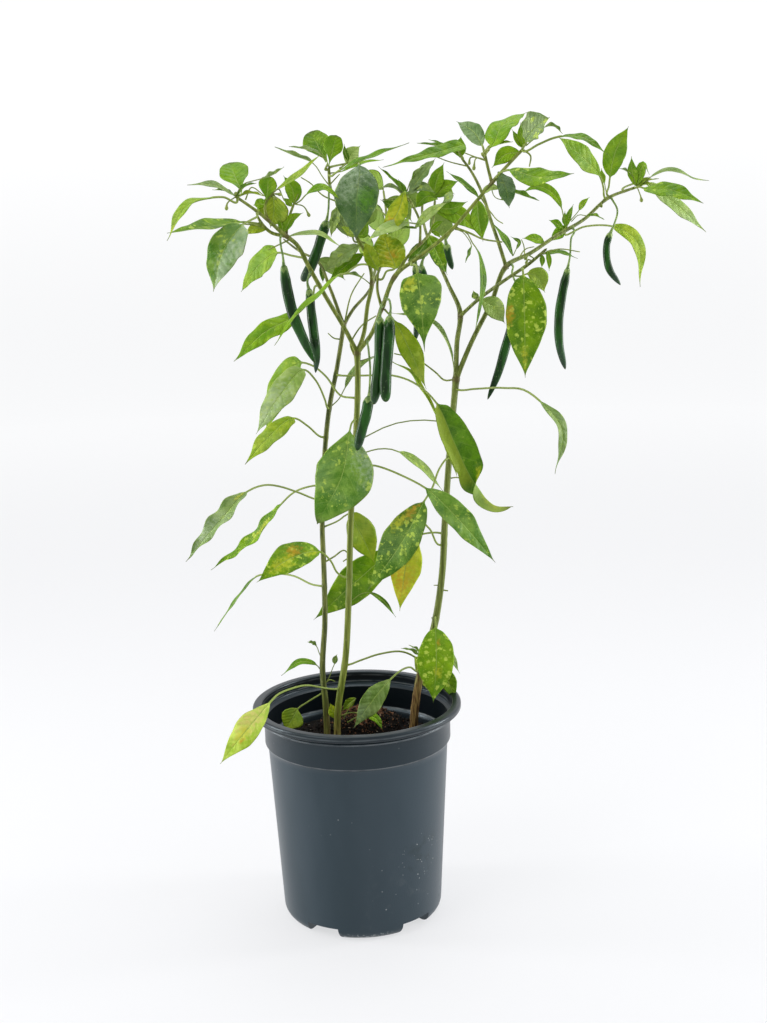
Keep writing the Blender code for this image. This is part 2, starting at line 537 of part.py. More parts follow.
def make_soil():
    """Potting mix that fills the pot, with a coir mound and a socket for each stem."""
    foot_radius = BODY_FOOT_RADIUS - WALL - GAP
    floor = FLOOR + GAP
    body = turned_mesh("soil", [
        (0, SOIL_TOP),
        (SOIL_FLAT, SOIL_TOP),
        (wall_radius(SOIL_EDGE) - WALL - 2 * GAP, SOIL_EDGE),
        (foot_radius - GAP, floor + FLOOR_BEVEL),
        (foot_radius - FLOOR_BEVEL - GAP, floor),
        (0, floor)])
    soil = add_piece("soil", body, finished("potting_mix", (0.05, 0.03, 0.02), 0.95))
    boolean(soil, coir_mound(), "UNION")
    for block in pocket_blocks("pocket_room", WALL + GAP, -CLEAR):
        boolean(soil, block, "DIFFERENCE")
    for trunk in ("left", "middle", "right"):
        boolean(soil, stem_socket(trunk), "DIFFERENCE")


def make_stem(name, branches):
    """The trunk with every branch joined to it as one body."""
    stem = None
    for branch in branches:
        samples = [(seen(x, z, y), thickness) for x, z, y, thickness in find_branch(branch)]
        mesh = tube_mesh(branch, samples)
        if stem is None:
            stem = add_piece(name, mesh, finished(f"{name}_bark", BARK[name], 0.6))
        else:
            boolean(stem, add_cutter(f"branch_{branch}", mesh), "UNION")


def make_pod(name, branch, height, stalk, pod, thickness):
    """Stalk, calyx and pod in one: a tube that swells from the stalk and ends in a tip."""
    start, out = grown_from(branch, height, seen(*stalk[0]))
    samples = [(start, POD_STALK), (start + out * FIRST_STEP * MM, POD_STALK)]
    samples += [(seen(*point), POD_STALK) for point in stalk[:-1]]
    samples.append((seen(*stalk[-1]), POD_CALYX))
    samples += [(seen(*place), thickness * share)
                for place, share in zip(smooth(pod, SPAN_STEPS), POD_SWELL)]
    add_piece(name, tube_mesh(name, samples), finished(f"{name}_skin", (0.008, 0.04, 0.012), 0.2))


def frames(points, facing):
    """Upward normal and side at each point of a leaf's midline, carried back from its tip."""
    tangents = [(b - a).normalized() for a, b in zip(points, points[1:])]
    tangents.append(tangents[-1])
    result = []
    normal = Vector(facing)
    for tangent in reversed(tangents):
        normal = (normal - tangent * normal.dot(tangent)).normalized()
        result.append((normal, tangent.cross(normal)))
    return result[::-1]


def blade_half_width(share):
    """Outline of a blade: narrow base, widest at about a third, long drawn-out tip."""
    return math.sin(math.pi * share ** 0.7) ** 1.1


def stalk_ring():
    """Side and rise of a ring's corners, in mm, where the leaf is a round stalk."""
    return [(math.cos(math.radians(a)) * LEAF_STALK, math.sin(math.radians(a)) * LEAF_STALK)
            for a in LEAF_ANGLES]


def blade_ring(width, share):
    """Side and rise of a ring's corners, in mm, where the leaf is a folded blade."""
    half = max(width / 2 * blade_half_width(min(share, TIP_SHARE)), LEAF_LEAST)
    rise = half * LEAF_FOLD
    under = rise / 2 - LEAF_BLADE
    return [(-half, rise), (0, LEAF_MIDRIB), (half, rise),
            (half / 2, under), (0, -LEAF_MIDRIB), (-half / 2, under)]


def make_leaf(name, branch, height, stalk, blade, width, facing, tone):
    """A loft from the round stalk into a thin blade, folded a little along its midrib."""
    start, out = grown_from(branch, height, seen(*stalk[0]))
    midline = [start, start + out * FIRST_STEP * MM, *(seen(*point) for point in stalk)]
    stalk_rings = len(midline)
    midline += [seen(*point) for point in smooth(blade, LEAF_STEPS // (len(blade) - 1))]
    shape = bmesh.new()
    rings = []
    for k, (point, (up, side)) in enumerate(zip(midline, frames(midline, facing))):
        share = (k - stalk_rings) / (len(midline) - stalk_rings - 1)
        corners = blade_ring(width, share) if share > 0 else stalk_ring()
        rings.append([shape.verts.new(point + (side * a + up * b) * MM) for a, b in corners])
    for low, high in zip(rings, rings[1:]):
        for k, _ in enumerate(low):
            shape.faces.new((low[k - 1], low[k], high[k], high[k - 1]))
    shape.faces.new(rings[0][::-1])
    shape.faces.new(rings[-1])
    bmesh.ops.triangulate(shape, faces=shape.faces)
    bmesh.ops.recalc_face_normals(shape, faces=shape.faces)
    mesh = bpy.data.meshes.new(name)
    shape.to_mesh(mesh)
    shape.free()
    add_piece(name, mesh, finished(f"{name}_green", TONES[tone], 0.4))


def main():
    """Clear the scene, then make the pot, the soil, the stems, the pods and the leaves."""
    for old in list(bpy.data.objects):
        bpy.data.objects.remove(old)
    make_pot()
    make_soil()
    for name, branches in STEMS.items():
        make_stem(name, branches)
    for pod in PODS:
        make_pod(*pod)
    for leaf in LEAVES:
        make_leaf(*leaf)


main()
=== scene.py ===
"""The finished look of a chilli pepper plant in its nursery pot, built round its CAD frame.

Stems, pods, leaves and pot are worked out as surfaces on grids. The plant is laid out on the
same upright board as the frame: a point is (x, z, y) in millimetres, x and z read on the
board and y the depth behind it, and seen() carries it along its sight line from EYE.
"""

import math
from collections import namedtuple

import bpy
import numpy as np
from mathutils import Matrix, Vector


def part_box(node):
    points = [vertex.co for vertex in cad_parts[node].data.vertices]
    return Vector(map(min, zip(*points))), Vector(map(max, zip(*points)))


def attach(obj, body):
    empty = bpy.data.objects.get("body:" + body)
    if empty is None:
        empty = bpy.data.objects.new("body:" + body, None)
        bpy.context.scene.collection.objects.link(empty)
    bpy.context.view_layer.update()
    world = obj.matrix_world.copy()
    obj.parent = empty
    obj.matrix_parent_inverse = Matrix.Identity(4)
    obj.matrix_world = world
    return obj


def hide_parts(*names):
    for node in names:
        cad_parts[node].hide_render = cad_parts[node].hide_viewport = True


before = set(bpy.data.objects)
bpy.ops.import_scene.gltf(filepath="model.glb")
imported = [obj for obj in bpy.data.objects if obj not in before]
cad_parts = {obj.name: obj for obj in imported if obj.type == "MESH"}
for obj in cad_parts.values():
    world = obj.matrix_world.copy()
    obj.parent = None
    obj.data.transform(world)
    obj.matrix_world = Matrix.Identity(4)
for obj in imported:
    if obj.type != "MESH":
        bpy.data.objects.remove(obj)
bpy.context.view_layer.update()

MM = 0.001
HUB = 0.5                       # radius in mm at which turned shapes start, at their axis

# Camera: its place in mm, and its turn to the right, its tip down and its roll in degrees
EYE = np.array([0.0, -1350.0, 683.0])
EYE_TURNS = (1.35, 11.45, -1.6)
LENS = 50.0
FILM_WIDTH = 36.0

# Stage, mm: the floor's inner disc, how far it is level, its steps and corners round it, and
# the bend that turns it up; the light that it gives off near, far and high; the surround's
# colour and its strength before and behind the plant
FLOOR_DISC = 600.0
FLOOR_REACH = 4000.0
FLOOR_STEP = 400.0
FLOOR_AROUND = 96
FLOOR_BEND = 2200.0
FLOOR_COLOUR = (0.18, 0.18, 0.185, 1.0)
FLOOR_GLOW = (0.655, 0.66, 0.67)
FAR_GLOW = (0.785, 0.79, 0.795)
HIGH_GLOW = (0.90, 0.90, 0.90)
SKY_COLOUR = (0.985, 0.99, 1.0, 1.0)
SKY_FRONT = 0.50
SKY_REAR = 1.05

# Lamps, which point at LAMP_TARGET: name, place in m, width and height in m, watts, colour
LAMP_TARGET = (0.0, 0.0, 0.45)
LAMPS = [
    ("key", (-1.6, -1.3, 2.3), (1.2, 1.2), 26.0, (1.0, 0.985, 0.96)),
    ("fill", (1.9, -0.9, 1.5), (1.2, 1.2), 7.0, (0.95, 0.98, 1.0)),
    ("top", (0.2, 0.7, 2.6), (1.4, 1.4), 24.0, (1.0, 1.0, 1.0)),
    ("left_strip", (-1.5, 0.15, 0.55), (0.35, 1.5), 22.0, (1.0, 1.0, 1.0)),
    ("right_strip", (1.5, 0.15, 0.55), (0.35, 1.5), 22.0, (1.0, 1.0, 1.0)),
]

# How far the crown opens fore and aft, and the heights where that begins and is full
CROWN_DEPTH = 1.5
CROWN_FOOT = 240.0
CROWN_FULL = 480.0

# Pot and soil, mm; the rim's radius and height are the frame's
RIM_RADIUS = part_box("pot")[1].x / MM
RIM_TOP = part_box("pot")[1].z / MM
RIM_BEAD = 3.4
RIM_ROUND = 2.2
LIP_RADIUS = 94.5
COLLAR_RADIUS = 92.5
COLLAR_FOOT = 181.0
BODY_TOP_RADIUS = 89.5
BODY_FOOT_RADIUS = 80.0
BORE_ROUND = 1.4                # the edges inside, and the lip's
LIP_ROUND = 1.8
NECK_OUT = 4.2                  # the bead under the rim: how far out, how far down, its radius
NECK_DROP = 3.2
NECK_ROUND = 1.6
WALL = 2.2
FOOT_ROUND = 11.0
POT_STEP = 9.0                  # the longest step along the profile, and corners round it
POT_AROUND = 160
POCKETS = 5
POCKET_FIRST = -121.0
POCKET_WIDTH = 38.0
POCKET_HEIGHT = 12.0
POCKET_INNER = 56.0
DRAIN_RADIUS = 4.0
DRAIN_REACH = 66.0
SCUFF_PLACE = (56.0, 78.0)      # the scuffed patch: across and up, and its reach each way
SCUFF_REACH = (25.0, 31.25)
SOIL_TOP = 173.0
SOIL_EDGE = BODY_TOP_RADIUS - WALL - 1.0
SOIL_FOOT = COLLAR_FOOT - 40.0
SOIL_RINGS = 90
SOIL_AROUND = 200
WAVES_END = 88.0                # the radius where the soil's waves end, and how soon they fade
WAVES_FADE = 8.0
MOUND = (2.0, 42.0)
MOUND_SIZE = (46.0, 26.0)
MOUND_RISE = 22.0
ON_MOUND = 0.96                 # share of the coir chips on the mound, their middle and spread
CHIPS_AT = (5.0, -5.0)
CHIPS_SPREAD = (13.0, 10.0)
STREWN_TO = 84.0                # the radius that crumbs reach

# Darker, lighter and fibre colour of the bed; crumbs: count, the same colours, size in mm
MIX_COLOURS = (0.002, 0.0018, 0.0015), (0.008, 0.006, 0.0045), (0.018, 0.009, 0.006)
CRUMBS = {
    "coir_chips": (2300, (0.045, 0.020, 0.009), (0.18, 0.082, 0.040), (0.28, 0.135, 0.070), 1.0),
    "bark_crumbs": (1300, (0.003, 0.0025, 0.002), (0.011, 0.008, 0.006), (0.022, 0.012, 0.007),
                    1.7),
    "pale_crumbs": (90, (0.16, 0.14, 0.10), (0.36, 0.32, 0.24), (0.25, 0.19, 0.11), 1.1),
}

# Stalks, mm: where one starts, in thicknesses of its branch out from the middle, how far it
# runs straight out, and the thickness of a large leaf's
STALK_SEAT = 0.3
STALK_RUN = 2.5
LEAF_STALK = 1.9

# Swellings at the forks of a branch, and where leaves and pods stand on it: width in mm, and
# the share by which it is thicker
FORK_BELL = (5.0, 0.24)
KNOT_BELL = (2.5, 0.14)

# Leaf grids: rings along the blade, and cells across half of it; the tissue's thickness in mm
# at its edge, and how much more it is in the middle
LEAF_GRID = (72, 12)
YOUNG_GRID = (26, 6)
LEAF_EDGE = 0.06
LEAF_BODY = 0.18

# Pods: rings along the stalk and the body, corners round them, and in mm how far the calyx
# reaches down and by how much its lobes vary that
POD_STALK_RINGS = 30
POD_RINGS = 120
POD_AROUND = 28
CALYX_REACH = 5.2
CALYX_LOBES = 1.5

# Side veins: how many go to a blade's length, the least gap in mm, and by how much of a gap
# those on the right are shifted
SIDE_VEINS = 8.0
VEIN_GAP = 4.0
VEIN_SHIFT = 0.45

# Branches: (x, z, y, thickness). The first route of a stem is its trunk.
STEMS = {
    "stem_left": {
        "left": [(-32, 130, 8, 6.5), (-31, 210, 8, 6.3), (-33, 252, 10, 5.8), (-29, 300, 12, 5.4),
                 (-28, 350, 16, 5.2), (-28, 400, 22, 5.0), (-24, 460, 28, 4.8),
                 (-17, 513, 33, 4.8), (-8.6, 550, 37, 4.4), (0, 594, 41, 4.4)],
        "left_inner": [(-1, 590, 41, 3.6), (-13, 626, 42, 3.2), (-23, 650, 46, 2.6),
                       (-40, 660, 54, 2.2), (-55, 672, 62, 1.8)],
        "left_back": [(-1, 590, 41, 3.4), (8, 604, 46, 3.2), (22, 619, 56, 2.8),
                      (34, 640, 72, 2.6), (42, 668, 92, 2.2)],
    },
    "stem_middle": {
        "middle": [(-21, 130, -2, 7.0), (-19, 210, -2, 6.8), (-10, 262, -2, 6.4),
                   (-5, 320, -2, 6.1), (0, 405, -2, 5.8), (7, 480, -3, 5.6),
                   (11, 545, -5, 5.6), (11, 569, -5, 5.8)],
        "mid_left": [(11, 564, -5, 4.4), (-0.5, 588, -9, 4.1), (-15, 614, -15, 4.0),
                     (-31, 644, -22, 3.8), (-43, 667, -29, 3.8), (-54, 676, -35, 3.6),
                     (-70, 691, -46, 2.9), (-88, 705, -56, 2.6), (-98, 712, -62, 2.4)],
        "left_spur": [(-52, 674, -34, 3.0), (-66, 678, -32, 3.0), (-75, 688, -32, 2.4),
                      (-79, 696, -34, 1.8)],
        "left_shoot": [(-52, 675, -34, 2.8), (-49, 689, -30, 2.4), (-43, 704, -22, 2.2)],
        "left_fork": [(-69, 690, -45, 2.6), (-70, 702, -43, 2.4), (-61, 716, -38, 1.8)],
        "mid_rise": [(11, 564, -5, 4.2), (17, 579, -3, 4.0), (22, 607, 1, 3.8),
                     (27, 631, 5, 3.6), (24, 650, 8, 3.4), (14, 672, 8, 3.2),
                     (2, 701, 10, 2.6), (-8, 714, 6, 2.6), (-10, 736, 0, 2.6)],
        "mid_back": [(27, 628, 5, 3.0), (34, 655, 30, 2.8), (42, 690, 62, 2.4),
                     (40, 714, 84, 2.0)],
        "mid_right": [(11, 564, -5, 4.2), (23, 578, -11, 4.0), (36, 606, -24, 3.8),
                      (50, 636, -37, 3.8), (71, 651, -47, 3.2), (100, 673, -56, 3.2),
                      (128, 703, -62, 3.0), (150, 727, -65, 2.8), (171, 748, -66, 2.6)],
        "mid_twig": [(36, 604, -24, 2.8), (32, 621, -24, 2.6), (33, 640, -20, 2.0)],
        "mid_upper": [(48, 634, -36, 2.8), (61, 652, -32, 2.7), (82, 673, -22, 2.5),
                      (88, 704, -2, 2.2)],
        "crown_shoot": [(73, 664, -28, 2.3), (73, 684, -22, 2.2), (61, 709, -14, 2.0)],
        "right_shoot": [(141, 717, -64, 2.6), (137, 733, -60, 2.6), (134, 748, -56, 2.2)],
    },
    "stem_right": {
        "right": [(54, 130, 20, 9.0), (58, 210, 20, 8.3), (62, 235, 20, 7.8), (80, 298, 18, 7.0),
                  (88, 350, 16, 6.6), (91, 395, 14, 6.4), (97, 465, 12, 6.1),
                  (105, 541, 10, 6.2)],
        "right_inner": [(104.5, 536, 10, 5.0), (106, 570, 15, 4.8), (109.5, 599, 21, 4.6),
                        (99, 625, 28, 3.6), (90, 646, 36, 3.2), (80, 670, 50, 2.8),
                        (76, 700, 74, 2.4), (84, 724, 92, 2.0)],
        "right_front": [(109, 595, 20, 3.6), (125, 609, 10, 3.4), (151, 627, -8, 3.2),
                        (176, 643, -26, 3.0), (192, 656, -40, 2.4)],
        "right_outer": [(104.5, 536, 10, 5.0), (120, 571, 14, 4.6), (139, 607, 19, 4.4),
                        (155, 642, 26, 4.4), (176, 652, 35, 3.8), (200, 667, 46, 3.6),
                        (227, 682, 58, 3.4), (250, 701, 68, 3.2), (276, 710, 76, 2.6)],
        "right_rise": [(154, 638, 25, 3.6), (147, 661, 31, 3.6), (140, 682, 38, 3.4),
                       (131, 710, 46, 3.0), (122, 728, 52, 2.6), (112, 742, 57, 2.2)],
    },
}

# Pods: name, branch, height on it, stalk route, pod route, thickness, bluntness of the end
PODS = [
    ("chilli_01", "mid_left", 677, [(-57, 666, -36), (-55.5, 656, -36)],
     [(-55, 647, -36), (-52, 620, -35), (-47.6, 600, -34), (-40, 580, -33), (-29, 555, -32)],
     9.6, 0.0),
    ("chilli_02", "mid_left", 642, [(-32, 637, -28), (-33.5, 631, -30)],
     [(-32.5, 625, -30), (-31, 604, -29), (-29, 580, -26), (-27.5, 560, -22), (-29, 546, -20)], 8.6, 0.0),
    ("chilli_03", "mid_rise", 720, [(-10.5, 712, -6), (-11.5, 697, -8)],
     [(-13.5, 687, -8), (-19, 672, -8), (-24, 658, -8), (-30, 645, -8), (-38.5, 632, -8)], 9.6, 0.62),
    ("chilli_04", "mid_right", 608, [(35, 608, -42), (34, 603, -47)],
     [(33.5, 596, -50), (33, 575, -51), (31, 552, -51), (28, 530, -51), (25.5, 514, -50)], 10.0, 0.30),
    ("chilli_05", "mid_right", 616, [(43, 612, -44), (44, 605, -50)],
     [(43, 597, -54), (41, 575, -57), (38.5, 552, -57), (37, 533, -57), (37, 516, -56)], 10.8, 0.45),
    ("chilli_06", "mid_right", 576, [(22, 566, -24), (23, 548, -30), (22, 532, -32)],
     [(21, 522, -33), (18.5, 508, -34), (14.5, 494, -34), (11, 482, -33), (8, 470, -32)], 10.0, 0.1),
    ("chilli_07", "right_outer", 643, [(159, 634, 20), (163, 622, 16)],
     [(163, 610, 14), (160, 592, 12), (153, 568, 11), (144.5, 540, 11), (134.4, 515.5, 12)], 8.4, 0.0),
    ("chilli_08", "right_outer", 675, [(214.7, 664, 44), (213.6, 648, 41)],
     [(211.5, 637, 40), (207, 617, 39), (203, 590, 38), (203.5, 566, 38), (209, 542, 39)], 8.6, 0.1),
    ("chilli_09", "right_outer", 702, [(258, 690, 66), (255, 676, 63)],
     [(252, 669, 62), (248.5, 659, 61), (248, 650, 60), (250.5, 636, 60), (261.5, 620, 61)], 7.2, 0.0),
    ("chilli_10", "mid_right", 671, [(96.5, 669, -42), (97, 666, -40)],
     [(97.5, 663, -40), (98.5, 658, -40), (99.5, 652, -40), (101, 646, -40), (103, 639, -40)], 6.2, 0.0),
    ("chilli_11", "mid_right", 650, [(69, 652, -30), (68.5, 649, -26)],
     [(68.5, 644, -24), (69.5, 630, -22), (70, 610, -22), (69, 590, -22), (66, 572, -22)], 8.0, 0.0),
    ("chilli_12", "mid_right", 655, [(77, 652, -32), (75, 648, -30)],
     [(74, 644, -30), (76, 632, -32), (78, 618, -34), (78, 604, -36), (76, 588, -38)], 7.2, 0.0),
]

# Leaf forms: where the blade is widest, how drawn in its base and its tip are, its fold and
# curl, its waving edge in mm, the number of waves, its twist in turns, and the share of its
# length that is a thin drip tip
Form = namedtuple("Form", "belly base tip fold curl wave waves twist drip")
FORMS = {
    "oval": Form(0.43, 0.90, 1.30, 0.16, -0.10, 0.9, 3.0, 0.0, 0.02),
    "round_base": Form(0.40, 0.60, 1.25, 0.14, -0.12, 1.0, 3.0, 0.0, 0.015),
    "heart": Form(0.28, 0.78, 2.00, 0.12, -0.12, 0.9, 3.0, 0.0, 0.03),
    "broad": Form(0.46, 1.10, 1.20, 0.12, -0.10, 1.0, 2.5, 0.0, 0.02),
    "wedge": Form(0.49, 1.35, 0.80, 0.12, -0.10, 1.0, 2.5, 0.0, 0.01),
    "lance": Form(0.40, 0.95, 1.25, 0.26, -0.05, 0.8, 2.5, 0.0, 0.04),
    "blade": Form(0.16, 0.40, 1.20, 0.16, -0.05, 0.9, 3.5, 0.0, 0.03),
    "folded": Form(0.42, 0.95, 1.30, 0.60, 0.05, 0.8, 2.5, 0.0, 0.04),
    "twisted": Form(0.38, 0.85, 0.62, 0.62, 0.05, 0.9, 2.5, 0.42, 0.02),
    "wavy": Form(0.42, 0.85, 1.25, 0.28, 0.08, 2.2, 3.4, 0.0, 0.02),
    "flat": Form(0.42, 0.85, 1.30, 0.06, 0.0, 0.5, 3.0, 0.0, 0.03),
    "fan": Form(0.68, 1.30, 0.30, 0.10, -0.08, 0.9, 2.0, 0.0, 0.01),
    "crumpled": Form(0.50, 0.75, 0.95, 0.25, 0.10, 1.7, 3.5, 0.0, 0.04),
    "young": Form(0.43, 0.90, 1.30, 0.22, -0.05, 0.5, 2.0, 0.0, 0.04),
}

